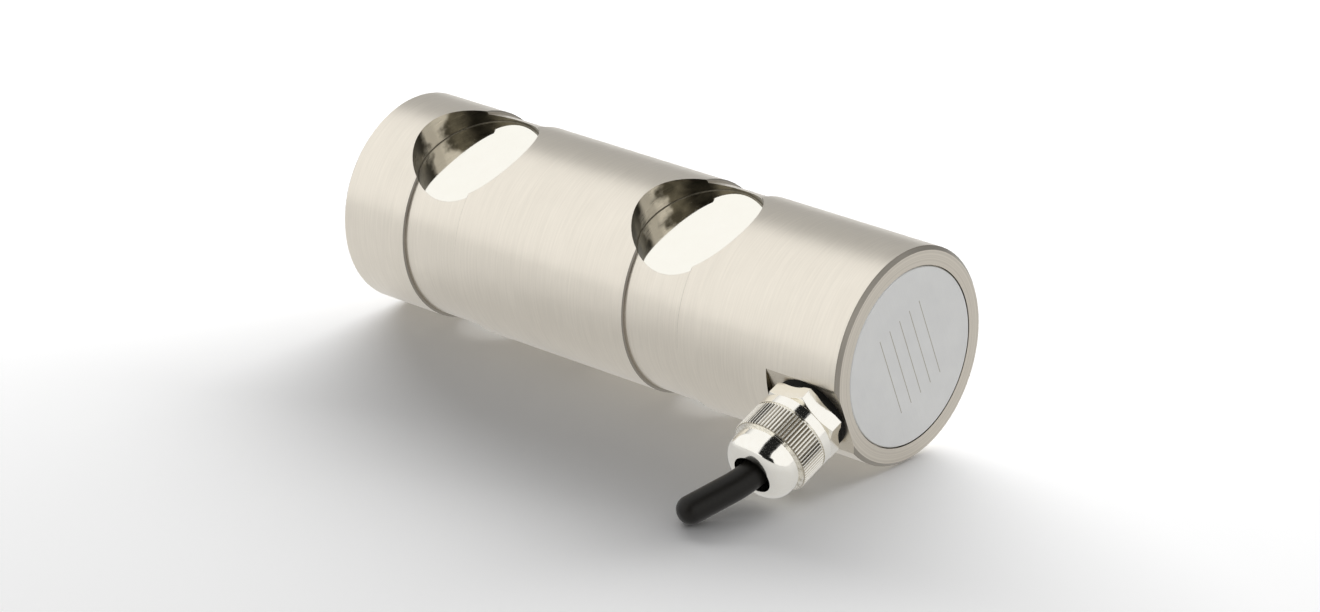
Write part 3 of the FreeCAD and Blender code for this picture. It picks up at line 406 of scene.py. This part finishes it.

# The spoke starts in the middle of a face's own recess, so the painted highlight falls alike in
# all recesses.
half = add_node(tree, "ShaderNodeMath", {0: split.outputs["X"]}, operation="SIGN")
along = add_node(tree, "ShaderNodeMath", {
    0: half.outputs[0], 1: -STATION, 2: split.outputs["X"]}, operation="MULTIPLY_ADD")
spoke = add_node(tree, "ShaderNodeCombineXYZ", {"X": along.outputs[0], "Y": split.outputs["Y"]})
spoke = add_node(tree, "ShaderNodeVectorMath", {0: spoke.outputs[0]}, operation="NORMALIZE")
facing = add_node(tree, "ShaderNodeVectorMath", {
    0: spoke.outputs[0], 1: (math.cos(HIGHLIGHT_AT), math.sin(HIGHLIGHT_AT), 0)},
    operation="DOT_PRODUCT")
ragged_facing = add_node(tree, "ShaderNodeMath", {
    0: patches.outputs["Fac"], 1: HIGHLIGHT_RAGGED, 2: facing.outputs["Value"]},
    operation="MULTIPLY_ADD")
# The painted highlight on one stretch of each recess wall, with a ragged edge.
painted_highlight = add_node(tree, "ShaderNodeMapRange", {
    "Value": ragged_facing.outputs[0], "From Min": HIGHLIGHT_RAGGED / 2 + math.cos(HIGHLIGHT_EDGE),
    "From Max": HIGHLIGHT_RAGGED / 2 + math.cos(HIGHLIGHT_FULL)}, interpolation_type="SMOOTHSTEP")
# The gland's flat is painted bright as well, as painted light.
lit_flat = add_node(tree, "ShaderNodeMath", {
    0: split.outputs["X"], 1: GLAND_FLAT_FLOOR}, operation="GREATER_THAN")
painted_light_mask = add_node(tree, "ShaderNodeMath", {
    0: painted_highlight.outputs[0], 1: lit_flat.outputs[0]}, operation="MAXIMUM")
tone = add_node(tree, "ShaderNodeMix", {
    0: painted_light_mask.outputs[0], 6: painted_recess_shade.outputs[2], 7: linear(PAINTED_BRIGHT_STEEL)}, data_type="RGBA")
shine = add_node(tree, "ShaderNodeMapRange", {
    "Value": marks.outputs["Fac"], "From Min": NOISE_LOW, "From Max": NOISE_HIGH,
    "To Min": 0.26, "To Max": 0.4})
relief = add_node(tree, "ShaderNodeBump", {
    "Height": marks.outputs["Fac"], "Strength": 0.15, "Distance": TOOL_MARK_DEPTH})
steel = add_node(tree, "ShaderNodeBsdfPrincipled", {
    "Base Color": tone.outputs[2], "Metallic": 1.0, "Roughness": shine.outputs[0],
    "Normal": relief.outputs[0]})
add_node(tree, "ShaderNodeOutputMaterial", {"Surface": steel.outputs[0]})

# How a face was cut is told by its place on the bar, and by how squarely it looks out from the
# axis or along it. A sliver's normal can be wrong, so its corners alone tell that it is round.
PIN_FINISHES = [ground_steel, faced_steel, milled_steel]
MERGE = 0.002 * MM
SHARP_EDGE = math.radians(28)
SLIVER = 0.05 * MM * MM
ROUND_WITHIN = 0.01 * MM
LOOKS_OUT = 0.98
LOOKS_INTO_RECESS = -0.2
LOOKS_ALONG = 0.3
LOOKS_STRAIGHT_ALONG = 0.99


def outwards(point):
    """Points from the pin's axis to a point, square to the axis."""
    return Vector((0, point.y, point.z))


def pin_finish(face):
    """Tells how a face of the pin was cut: ground, faced on the lathe, or milled."""
    middle = face.calc_center_median()
    on_bar = outwards(middle).length > LEAST_BAR_RADIUS
    on_end = not FAR_END_CUTS < middle.x < NEAR_END_CUTS
    radii = [outwards(vert.co).length for vert in face.verts]
    outward = face.normal.dot(outwards(middle).normalized())
    is_round = max(radii) - min(radii) < ROUND_WITHIN and (
        face.calc_area() < SLIVER or outward > LOOKS_OUT)
    if on_bar and is_round:
        return PIN_FINISHES.index(ground_steel)
    beside_neck = on_bar and abs(abs(middle.x) - STATION) < NECK_REACH
    on_shoulder = beside_neck and outward > LOOKS_INTO_RECESS
    if abs(face.normal.x) > LOOKS_ALONG and (on_end or on_shoulder):
        return PIN_FINISHES.index(faced_steel)
    return PIN_FINISHES.index(milled_steel)


shape = bmesh.new()
shape.from_mesh(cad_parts["pin_body"].data)
bmesh.ops.remove_doubles(shape, verts=shape.verts, dist=MERGE)
bmesh.ops.dissolve_degenerate(shape, dist=MERGE, edges=shape.edges)
for face in shape.faces:
    face.smooth = True
    face.material_index = pin_finish(face)
for edge in shape.edges:
    edge.smooth = edge.is_manifold and edge.calc_face_angle() < SHARP_EDGE
pin_mesh = bpy.data.meshes.new("finished_pin")
shape.to_mesh(pin_mesh)
shape.free()
pin = in_scene("finished_pin", pin_mesh, *PIN_FINISHES)

# A ground land shines evenly if its normals point straight out from the axis, and a faced end
# if they point along it. The normals that came with the copied mesh go first.
old_normals = pin_mesh.attributes.get("custom_normal")
if old_normals:
    pin_mesh.attributes.remove(old_normals)
corners = [corner.vector.copy() for corner in pin_mesh.corner_normals]
for face in pin_mesh.polygons:
    for corner in face.loop_indices:
        if face.material_index == PIN_FINISHES.index(ground_steel):
            point = pin_mesh.vertices[pin_mesh.loops[corner].vertex_index].co
            corners[corner] = outwards(point).normalized()
        elif abs(corners[corner].x) > LOOKS_STRAIGHT_ALONG:
            corners[corner] = Vector((math.copysign(1, corners[corner].x), 0, 0))
pin_mesh.normals_split_custom_set(corners)
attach(pin, "root")
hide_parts("pin_body")

# Gauge covers
# Thin stainless discs, polished almost to a mirror. A laser weld joins each one to the wall
# of its recess and leaves a fine bead round it.
BEAD_RADIUS = 0.2 * MM
BEAD_SEGMENTS = 12
SEAM_STEPS = 160
RECESS_RADIUS = 15.15 * MM
COVER_FACE = 18.2 * MM
POLISH_HAZE = 4 * MM
POLISHED_DARK = "#F8F5EB"
POLISHED_LIGHT = "#FCFAF1"


def dress(node, material):
    """Gives a CAD node its material."""
    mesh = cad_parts[node].data
    mesh.materials.clear()
    mesh.materials.append(material)


polished_steel, tree = new_material("polished_stainless_steel")
place = add_node(tree, "ShaderNodeTexCoord")
haze = add_node(tree, "ShaderNodeTexNoise", {
    "Vector": place.outputs["Object"], "Scale": 1 / POLISH_HAZE, "Detail": 4.0})
shine = add_node(tree, "ShaderNodeMapRange", {
    "Value": haze.outputs["Fac"], "From Min": NOISE_LOW, "From Max": NOISE_HIGH,
    "To Min": 0.03, "To Max": 0.08})
tone = add_node(tree, "ShaderNodeMix", {
    0: haze.outputs["Fac"], 6: linear(POLISHED_DARK), 7: linear(POLISHED_LIGHT)}, data_type="RGBA")
steel = add_node(tree, "ShaderNodeBsdfPrincipled", {
    "Base Color": tone.outputs[2], "Metallic": 1.0, "Roughness": shine.outputs[0]})
add_node(tree, "ShaderNodeOutputMaterial", {"Surface": steel.outputs[0]})

# The melt of the weld cools in small ripples under a dull brown film.
WELD_RIPPLE = 0.4 * MM
WELD_DARK = "#4F4A3F"
WELD_LIGHT = "#8F8878"

weld_steel, tree = new_material("laser_weld_bead")
place = add_node(tree, "ShaderNodeTexCoord")
ripple = add_node(tree, "ShaderNodeTexNoise", {
    "Vector": place.outputs["Object"], "Scale": 1 / WELD_RIPPLE, "Detail": 2.0})
tone = add_node(tree, "ShaderNodeMix", {
    0: ripple.outputs["Fac"], 6: linear(WELD_DARK), 7: linear(WELD_LIGHT)}, data_type="RGBA")
relief = add_node(tree, "ShaderNodeBump", {
    "Height": ripple.outputs["Fac"], "Strength": 0.4, "Distance": 0.05 * MM})
steel = add_node(tree, "ShaderNodeBsdfPrincipled", {
    "Base Color": tone.outputs[2], "Metallic": 1.0, "Roughness": 0.28,
    "Normal": relief.outputs[0]})
add_node(tree, "ShaderNodeOutputMaterial", {"Surface": steel.outputs[0]})

for side, turn in (("front", ROLL), ("rear", ROLL + math.pi)):
    for end, middle in (("near", STATION), ("far", -STATION)):
        dress(f"gauge_cover_{end}_{side}", polished_steel)
        shape = bmesh.new()
        ring = bmesh.ops.create_circle(shape, segments=BEAD_SEGMENTS, radius=BEAD_RADIUS)["verts"]
        bmesh.ops.rotate(shape, verts=ring, matrix=Matrix.Rotation(math.pi / 2, 3, "X"))
        bmesh.ops.translate(shape, verts=ring, vec=(RECESS_RADIUS, 0, COVER_FACE))
        bmesh.ops.spin(
            shape, geom=shape.verts[:] + shape.edges[:], axis=(0, 0, 1), cent=(0, 0, 0),
            angle=2 * math.pi, steps=SEAM_STEPS, use_merge=True)
        bmesh.ops.recalc_face_normals(shape, faces=shape.faces)
        bmesh.ops.translate(shape, verts=shape.verts, vec=(middle, 0, 0))
        bmesh.ops.rotate(shape, verts=shape.verts, matrix=Matrix.Rotation(turn, 3, "X"))
        bead_mesh = bpy.data.meshes.new(f"weld_seam_{end}_{side}")
        shape.to_mesh(bead_mesh)
        shape.free()
        bead_mesh.shade_smooth()
        bead = in_scene(f"weld_seam_{end}_{side}", bead_mesh, weld_steel)
        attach(bead, "root")

# End cover
# A round plate of stainless sheet, brushed matt and bonded flush into the end of the pin.
# Five blank ruled lines are etched into it. The brushing is drawn coarse enough to show.
RULE_PITCH = 3.6 * MM
RULE_WIDTH = 0.2 * MM
RULE_COUNT = 5
RULE_HALF_LENGTH = 10.5 * MM
RULE_TONE = "#ABA498"
BRUSH_WIDTH = 0.25 * MM
BRUSH_RUN = 6 * MM
COVER_CLOUD = 5 * MM
COVER_DARK = "#D8D8D7"
COVER_LIGHT = "#E2E2E0"

matt_steel, tree = new_material("brushed_stainless_sheet")
place = add_node(tree, "ShaderNodeTexCoord")
upright = add_node(tree, "ShaderNodeMapping", {
    "Vector": place.outputs["Object"], "Rotation": (-ROLL, 0, 0)})
brush_map = add_node(tree, "ShaderNodeMapping", {
    "Vector": upright.outputs[0], "Scale": (1 / MM, 1 / BRUSH_WIDTH, 1 / BRUSH_RUN)})
brush = add_node(tree, "ShaderNodeTexNoise", {
    "Vector": brush_map.outputs[0], "Scale": 1.0, "Detail": 3.0})
clouds = add_node(tree, "ShaderNodeTexNoise", {
    "Vector": place.outputs["Object"], "Scale": 1 / COVER_CLOUD, "Detail": 4.0})
split = add_node(tree, "ShaderNodeSeparateXYZ", {"Vector": upright.outputs[0]})
row = add_node(tree, "ShaderNodeMath", {
    0: split.outputs["Y"], 1: 1 / RULE_PITCH}, operation="MULTIPLY")
nearest = add_node(tree, "ShaderNodeMath", {0: row.outputs[0]}, operation="ROUND")
on_rule = add_node(tree, "ShaderNodeMath", {
    0: row.outputs[0], 1: nearest.outputs[0], 2: RULE_WIDTH / RULE_PITCH / 2},
    operation="COMPARE")
in_rows = add_node(tree, "ShaderNodeMath", {
    0: nearest.outputs[0], 1: 0.0, 2: RULE_COUNT / 2}, operation="COMPARE")
in_length = add_node(tree, "ShaderNodeMath", {
    0: split.outputs["Z"], 1: 0.0, 2: RULE_HALF_LENGTH}, operation="COMPARE")
ruled = add_node(tree, "ShaderNodeMath", {
    0: on_rule.outputs[0], 1: in_rows.outputs[0]}, operation="MULTIPLY")
ruled = add_node(tree, "ShaderNodeMath", {
    0: ruled.outputs[0], 1: in_length.outputs[0]}, operation="MULTIPLY")
sheet_tone = add_node(tree, "ShaderNodeMix", {
    0: clouds.outputs["Fac"], 6: linear(COVER_DARK), 7: linear(COVER_LIGHT)}, data_type="RGBA")
tone = add_node(tree, "ShaderNodeMix", {
    0: ruled.outputs[0], 6: sheet_tone.outputs[2], 7: linear(RULE_TONE)}, data_type="RGBA")
shine = add_node(tree, "ShaderNodeMapRange", {
    "Value": brush.outputs["Fac"], "From Min": NOISE_LOW, "From Max": NOISE_HIGH,
    "To Min": 0.4, "To Max": 0.52})
relief = add_node(tree, "ShaderNodeBump", {
    "Height": brush.outputs["Fac"], "Strength": 0.1, "Distance": 0.01 * MM})
steel = add_node(tree, "ShaderNodeBsdfPrincipled", {
    "Base Color": tone.outputs[2], "Metallic": 1.0, "Roughness": shine.outputs[0],
    "Normal": relief.outputs[0]})
add_node(tree, "ShaderNodeOutputMaterial", {"Surface": steel.outputs[0]})
dress("end_cover", matt_steel)

# Rubber seals
# Black moulded rubber: the gasket under the end cover, the ring under the gland, and the
# sleeve that grips the cable. It is matt, with the fine grain of its mould.
RUBBER_GRAIN = 0.5 * MM
RUBBER_DARK = "#0B0A08"
RUBBER_LIGHT = "#141310"

rubber, tree = new_material("moulded_rubber")
place = add_node(tree, "ShaderNodeTexCoord")
skin = add_node(tree, "ShaderNodeTexNoise", {
    "Vector": place.outputs["Object"], "Scale": 1 / RUBBER_GRAIN, "Detail": 3.0})
tone = add_node(tree, "ShaderNodeMix", {
    0: skin.outputs["Fac"], 6: linear(RUBBER_DARK), 7: linear(RUBBER_LIGHT)}, data_type="RGBA")
relief = add_node(tree, "ShaderNodeBump", {
    "Height": skin.outputs["Fac"], "Strength": 0.3, "Distance": 0.03 * MM})
matter = add_node(tree, "ShaderNodeBsdfPrincipled", {
    "Base Color": tone.outputs[2], "Roughness": 0.7, "Specular IOR Level": 0.2,
    "Normal": relief.outputs[0]})
add_node(tree, "ShaderNodeOutputMaterial", {"Surface": matter.outputs[0]})
for node in ("end_cover_gasket", "gland_gasket", "cable_seal"):
    dress(node, rubber)

# Cable gland
# Turned brass with a bright nickel plating, which mirrors the room in hard-edged bands. The
# knurl is rolled into the cap nut, and its flutes are painted darker towards their roots, as
# painted shade.
GLAND_PLACE = 78.2 * MM
KNURL_FOOT = 31.8 * MM
KNURL_TOP = 38.6 * MM
CREST_RADIUS = 9.55 * MM
FLUTE_DEPTH = 0.35 * MM
LIT_CREST = 0.02 * MM
SHADED_FROM = 0.6 * FLUTE_DEPTH
KNURL_ROUGHNESS = 0.26
PLATING_CLOUD = 1.5 * MM
NICKEL_DARK = "#F6F2E8"
NICKEL_LIGHT = "#FCFAF3"
# Painted shade: the darker tone deep in the knurl's flutes.
KNURL_SHADE = "#ABA392"

nickel, tree = new_material("nickel_plated_brass")
place = add_node(tree, "ShaderNodeTexCoord")
on_axis = add_node(tree, "ShaderNodeMapping", {
    "Vector": place.outputs["Object"], "Rotation": (-ROLL - math.pi / 2, 0, 0),
    "Location": (-GLAND_PLACE, 0, 0)})
split = add_node(tree, "ShaderNodeSeparateXYZ", {"Vector": on_axis.outputs[0]})
across = add_node(tree, "ShaderNodeCombineXYZ", {
    "X": split.outputs["X"], "Y": split.outputs["Y"]})
radius = add_node(tree, "ShaderNodeVectorMath", {0: across.outputs[0]}, operation="LENGTH")
sunk = add_node(tree, "ShaderNodeMapRange", {
    "Value": radius.outputs["Value"], "From Min": CREST_RADIUS - LIT_CREST,
    "From Max": CREST_RADIUS - SHADED_FROM})
in_knurl = add_node(tree, "ShaderNodeMath", {
    0: split.outputs["Z"], 1: (KNURL_FOOT + KNURL_TOP) / 2, 2: (KNURL_TOP - KNURL_FOOT) / 2},
    operation="COMPARE")
# Painted shade in the knurl's flutes, deepest towards their roots.
painted_flute_shade = add_node(tree, "ShaderNodeMath", {
    0: sunk.outputs[0], 1: in_knurl.outputs[0]}, operation="MULTIPLY")
polish = add_node(tree, "ShaderNodeTexNoise", {
    "Vector": place.outputs["Object"], "Scale": 1 / PLATING_CLOUD, "Detail": 4.0})
plating = add_node(tree, "ShaderNodeMix", {
    0: polish.outputs["Fac"], 6: linear(NICKEL_DARK), 7: linear(NICKEL_LIGHT)}, data_type="RGBA")
tone = add_node(tree, "ShaderNodeMix", {
    0: painted_flute_shade.outputs[0], 6: plating.outputs[2], 7: linear(KNURL_SHADE)}, data_type="RGBA")
shine = add_node(tree, "ShaderNodeMapRange", {
    "Value": polish.outputs["Fac"], "From Min": NOISE_LOW, "From Max": NOISE_HIGH,
    "To Min": 0.07, "To Max": 0.14})
shine = add_node(tree, "ShaderNodeMix", {
    0: in_knurl.outputs[0], 2: shine.outputs[0], 3: KNURL_ROUGHNESS})
edges = add_node(tree, "ShaderNodeBevel", {"Radius": EDGE_BREAK}, samples=4)
metal = add_node(tree, "ShaderNodeBsdfPrincipled", {
    "Base Color": tone.outputs[2], "Metallic": 1.0, "Roughness": shine.outputs[0],
    "Normal": edges.outputs[0]})
add_node(tree, "ShaderNodeOutputMaterial", {"Surface": metal.outputs[0]})
dress("gland_body", nickel)
dress("cap_nut", nickel)

# Cable
# A short round cable with a jacket of black polyurethane, extruded with a satin skin. Its
# cut end is closed and rounded.
JACKET_GRAIN = 0.6 * MM
JACKET_DARK = "#15130F"
JACKET_LIGHT = "#211E18"

jacket_skin, tree = new_material("polyurethane_jacket")
place = add_node(tree, "ShaderNodeTexCoord")
grain = add_node(tree, "ShaderNodeTexNoise", {
    "Vector": place.outputs["Object"], "Scale": 1 / JACKET_GRAIN, "Detail": 3.0})
tone = add_node(tree, "ShaderNodeMix", {
    0: grain.outputs["Fac"], 6: linear(JACKET_DARK), 7: linear(JACKET_LIGHT)}, data_type="RGBA")
relief = add_node(tree, "ShaderNodeBump", {
    "Height": grain.outputs["Fac"], "Strength": 0.2, "Distance": 0.03 * MM})
matter = add_node(tree, "ShaderNodeBsdfPrincipled", {
    "Base Color": tone.outputs[2], "Roughness": 0.45, "Specular IOR Level": 0.3,
    "Normal": relief.outputs[0]})
add_node(tree, "ShaderNodeOutputMaterial", {"Surface": matter.outputs[0]})
dress("cable_jacket", jacket_skin)

# Strain gauges
# Bars of bright constantan foil on an amber carrier of polyimide, bonded to the web. Each
# half of the grid lies at 45 degrees to the pin.
WEB_HALF = 3 * MM
CARRIER_TOP = 0.16 * MM
GAUGE_HAZE = 0.8 * MM
CARRIER_DARK = "#A8611C"
CARRIER_LIGHT = "#C98430"
FOIL_DARK = "#BFAE96"
FOIL_LIGHT = "#D6C8B2"

gauge_foil, tree = new_material("foil_on_polyimide")
place = add_node(tree, "ShaderNodeTexCoord")
upright = add_node(tree, "ShaderNodeMapping", {
    "Vector": place.outputs["Object"], "Rotation": (-ROLL, 0, 0)})
split = add_node(tree, "ShaderNodeSeparateXYZ", {"Vector": upright.outputs[0]})
height = add_node(tree, "ShaderNodeMath", {0: split.outputs["Z"]}, operation="ABSOLUTE")
foil = add_node(tree, "ShaderNodeMath", {
    0: height.outputs[0], 1: WEB_HALF + CARRIER_TOP}, operation="GREATER_THAN")
haze = add_node(tree, "ShaderNodeTexNoise", {
    "Vector": place.outputs["Object"], "Scale": 1 / GAUGE_HAZE, "Detail": 4.0})
carrier = add_node(tree, "ShaderNodeMix", {
    0: haze.outputs["Fac"], 6: linear(CARRIER_DARK), 7: linear(CARRIER_LIGHT)}, data_type="RGBA")
bars = add_node(tree, "ShaderNodeMix", {
    0: haze.outputs["Fac"], 6: linear(FOIL_DARK), 7: linear(FOIL_LIGHT)}, data_type="RGBA")
tone = add_node(tree, "ShaderNodeMix", {
    0: foil.outputs[0], 6: carrier.outputs[2], 7: bars.outputs[2]}, data_type="RGBA")
shine = add_node(tree, "ShaderNodeMapRange", {
    "Value": haze.outputs["Fac"], "From Min": NOISE_LOW, "From Max": NOISE_HIGH,
    "To Min": 0.2, "To Max": 0.32})
matter = add_node(tree, "ShaderNodeBsdfPrincipled", {
    "Base Color": tone.outputs[2], "Metallic": foil.outputs[0], "Roughness": shine.outputs[0]})
add_node(tree, "ShaderNodeOutputMaterial", {"Surface": matter.outputs[0]})
for gauge in ("near_front", "near_rear", "far_front", "far_rear"):
    dress(f"strain_gauge_{gauge}", gauge_foil)

# Terminal board
# A round board under green solder mask, glossy and even. The copper tracks lie under it and
# show as paler lines from the posts to the resistors.
TRACK_PITCH = 2 * MM
TRACK_WIDTH = 0.6 * MM
TRACK_REACH = 9 * MM
TRACK_TONE = "#3F8A50"
MASK_HAZE = 1.2 * MM
MASK_DARK = "#1B5230"
MASK_LIGHT = "#24663B"

solder_mask, tree = new_material("solder_mask_on_board")
place = add_node(tree, "ShaderNodeTexCoord")
split = add_node(tree, "ShaderNodeSeparateXYZ", {"Vector": place.outputs["Object"]})
step = add_node(tree, "ShaderNodeMath", {
    0: split.outputs["Y"], 1: 1 / TRACK_PITCH}, operation="MULTIPLY")
nearest = add_node(tree, "ShaderNodeMath", {0: step.outputs[0]}, operation="ROUND")
on_track = add_node(tree, "ShaderNodeMath", {
    0: step.outputs[0], 1: nearest.outputs[0], 2: TRACK_WIDTH / TRACK_PITCH / 2},
    operation="COMPARE")
in_reach = add_node(tree, "ShaderNodeMath", {
    0: split.outputs["Z"], 1: 0.0, 2: TRACK_REACH}, operation="COMPARE")
track = add_node(tree, "ShaderNodeMath", {
    0: on_track.outputs[0], 1: in_reach.outputs[0]}, operation="MULTIPLY")
haze = add_node(tree, "ShaderNodeTexNoise", {
    "Vector": place.outputs["Object"], "Scale": 1 / MASK_HAZE, "Detail": 4.0})
mask = add_node(tree, "ShaderNodeMix", {
    0: haze.outputs["Fac"], 6: linear(MASK_DARK), 7: linear(MASK_LIGHT)}, data_type="RGBA")
tone = add_node(tree, "ShaderNodeMix", {
    0: track.outputs[0], 6: mask.outputs[2], 7: linear(TRACK_TONE)}, data_type="RGBA")
relief = add_node(tree, "ShaderNodeBump", {
    "Height": track.outputs[0], "Strength": 0.4, "Distance": 0.04 * MM})
matter = add_node(tree, "ShaderNodeBsdfPrincipled", {
    "Base Color": tone.outputs[2], "Roughness": 0.32, "Normal": relief.outputs[0]})
add_node(tree, "ShaderNodeOutputMaterial", {"Surface": matter.outputs[0]})
dress("terminal_board", solder_mask)

# The resistors are black chips under a smooth glaze, with soft bright tin on their ends.
CHIP_PITCH = 4.5 * MM
CHIP_BODY = 2.2 * MM
CHIP_HAZE = 0.3 * MM
TIN_DARK = "#BDBBB3"
TIN_LIGHT = "#DAD8D0"
GLAZE_DARK = "#151515"
GLAZE_LIGHT = "#232323"

chip, tree = new_material("chip_with_tinned_ends")
place = add_node(tree, "ShaderNodeTexCoord")
split = add_node(tree, "ShaderNodeSeparateXYZ", {"Vector": place.outputs["Object"]})
step = add_node(tree, "ShaderNodeMath", {
    0: split.outputs["Y"], 1: 1 / CHIP_PITCH}, operation="MULTIPLY")
nearest = add_node(tree, "ShaderNodeMath", {0: step.outputs[0]}, operation="ROUND")
body = add_node(tree, "ShaderNodeMath", {
    0: step.outputs[0], 1: nearest.outputs[0], 2: CHIP_BODY / CHIP_PITCH / 2},
    operation="COMPARE")
haze = add_node(tree, "ShaderNodeTexNoise", {
    "Vector": place.outputs["Object"], "Scale": 1 / CHIP_HAZE, "Detail": 3.0})
tin = add_node(tree, "ShaderNodeMix", {
    0: haze.outputs["Fac"], 6: linear(TIN_DARK), 7: linear(TIN_LIGHT)}, data_type="RGBA")
glaze = add_node(tree, "ShaderNodeMix", {
    0: haze.outputs["Fac"], 6: linear(GLAZE_DARK), 7: linear(GLAZE_LIGHT)}, data_type="RGBA")
tone = add_node(tree, "ShaderNodeMix", {
    0: body.outputs[0], 6: tin.outputs[2], 7: glaze.outputs[2]}, data_type="RGBA")
metal_ends = add_node(tree, "ShaderNodeMath", {
    0: 1.0, 1: body.outputs[0]}, operation="SUBTRACT")
matter = add_node(tree, "ShaderNodeBsdfPrincipled", {
    "Base Color": tone.outputs[2], "Metallic": metal_ends.outputs[0], "Roughness": 0.36})
add_node(tree, "ShaderNodeOutputMaterial", {"Surface": matter.outputs[0]})
dress("trim_resistors", chip)

# Cable shield
# A braid of fine tinned copper strands under the jacket. They wind both ways round the
# cable and pass over and under each other, and half of the weave is painted darker, as painted
# shade where strands pass under.
BRAID_STRANDS = 10
BRAID_LAY = 9 * MM
STRAND_EDGE = 0.6
BRAID_UNDER_SHADE = "#8F8B80"
BRAID_LIGHT = "#DAD7CC"

braid, tree = new_material("tinned_copper_braid")
place = add_node(tree, "ShaderNodeTexCoord")
on_axis = add_node(tree, "ShaderNodeMapping", {
    "Vector": place.outputs["Object"], "Rotation": (-ROLL - math.pi / 2, 0, 0),
    "Location": (-GLAND_PLACE, 0, 0)})
split = add_node(tree, "ShaderNodeSeparateXYZ", {"Vector": on_axis.outputs[0]})
turn = add_node(tree, "ShaderNodeMath", {
    0: split.outputs["Y"], 1: split.outputs["X"]}, operation="ARCTAN2")
lay = add_node(tree, "ShaderNodeMath", {
    0: split.outputs["Z"], 1: 2 * math.pi / BRAID_LAY}, operation="MULTIPLY")
ways = []
for way in ("ADD", "SUBTRACT"):
    wound = add_node(tree, "ShaderNodeMath", {
        0: turn.outputs[0], 1: lay.outputs[0]}, operation=way)
    wound = add_node(tree, "ShaderNodeMath", {
        0: wound.outputs[0], 1: BRAID_STRANDS}, operation="MULTIPLY")
    ways.append(add_node(tree, "ShaderNodeMath", {0: wound.outputs[0]}, operation="SINE"))
weave = add_node(tree, "ShaderNodeMath", {
    0: ways[0].outputs[0], 1: ways[1].outputs[0]}, operation="MULTIPLY")
over = add_node(tree, "ShaderNodeMapRange", {
    "Value": weave.outputs[0], "From Min": -STRAND_EDGE, "From Max": STRAND_EDGE})
# Painted shade where the strands pass under each other.
tone = add_node(tree, "ShaderNodeMix", {
    0: over.outputs[0], 6: linear(BRAID_UNDER_SHADE), 7: linear(BRAID_LIGHT)}, data_type="RGBA")
relief = add_node(tree, "ShaderNodeBump", {
    "Height": over.outputs[0], "Strength": 0.6, "Distance": 0.05 * MM})
metal = add_node(tree, "ShaderNodeBsdfPrincipled", {
    "Base Color": tone.outputs[2], "Metallic": 1.0, "Roughness": 0.33,
    "Normal": relief.outputs[0]})
add_node(tree, "ShaderNodeOutputMaterial", {"Surface": metal.outputs[0]})
dress("cable_shield", braid)

# Small pieces inside
# They are hidden in the finished part. The tinned ones are bright with a soft haze, the
# sleeves and the insulation are satin plastic, and the cage is dull grey nylon.
# Each row holds a material, its dark and light tone, its metallic and roughness, the size of
# its grain in millimetres, and the pieces made of it.
SHINE_SPREAD = 0.06
SMALL_PIECES = [
    ("tinned_solder_tab", "#B4B1A8", "#DEDCD4", 1.0, 0.3, 0.5, (
        "solder_tab_near_front", "solder_tab_near_rear",
        "solder_tab_far_front", "solder_tab_far_rear")),
    ("glass_fibre_sleeve", "#CFC7B2", "#EAE4D2", 0.0, 0.55, 0.4, (
        "gauge_lead_near_front", "gauge_lead_near_rear",
        "gauge_lead_far_front", "gauge_lead_far_rear")),
    ("plain_turned_steel", "#A9A7A1", "#CBC9C3", 1.0, 0.3, 0.6, ("board_spacers", "board_screws")),
    ("tinned_brass_posts", "#CBC5AC", "#E4E0CE", 1.0, 0.25, 0.4, ("solder_posts",)),
    ("glass_filled_nylon", "#2B2B29", "#41413E", 0.0, 0.55, 0.5, ("clamp_cage",)),
    ("red_insulation", "#A21C16", "#C02E25", 0.0, 0.42, 0.8, ("core_red",)),
    ("black_insulation", "#121212", "#222222", 0.0, 0.42, 0.8, ("core_black",)),
    ("green_insulation", "#1A7536", "#2E8F4C", 0.0, 0.42, 0.8, ("core_green",)),
    ("white_insulation", "#D6D4CC", "#EAE8E0", 0.0, 0.42, 0.8, ("core_white",)),
]
for name, dark, light, metallic, roughness, grain_size, nodes in SMALL_PIECES:
    material, tree = new_material(name)
    place = add_node(tree, "ShaderNodeTexCoord")
    grain = add_node(tree, "ShaderNodeTexNoise", {
        "Vector": place.outputs["Object"], "Scale": 1 / (grain_size * MM), "Detail": 4.0})
    tone = add_node(tree, "ShaderNodeMix", {
        0: grain.outputs["Fac"], 6: linear(dark), 7: linear(light)}, data_type="RGBA")
    shine = add_node(tree, "ShaderNodeMapRange", {
        "Value": grain.outputs["Fac"], "From Min": NOISE_LOW, "From Max": NOISE_HIGH,
        "To Min": roughness - SHINE_SPREAD, "To Max": roughness + SHINE_SPREAD})
    relief = add_node(tree, "ShaderNodeBump", {
        "Height": grain.outputs["Fac"], "Strength": 0.15, "Distance": 0.03 * MM})
    matter = add_node(tree, "ShaderNodeBsdfPrincipled", {
        "Base Color": tone.outputs[2], "Metallic": metallic, "Roughness": shine.outputs[0],
        "Normal": relief.outputs[0]})
    add_node(tree, "ShaderNodeOutputMaterial", {"Surface": matter.outputs[0]})
    for node in nodes:
        dress(node, material)
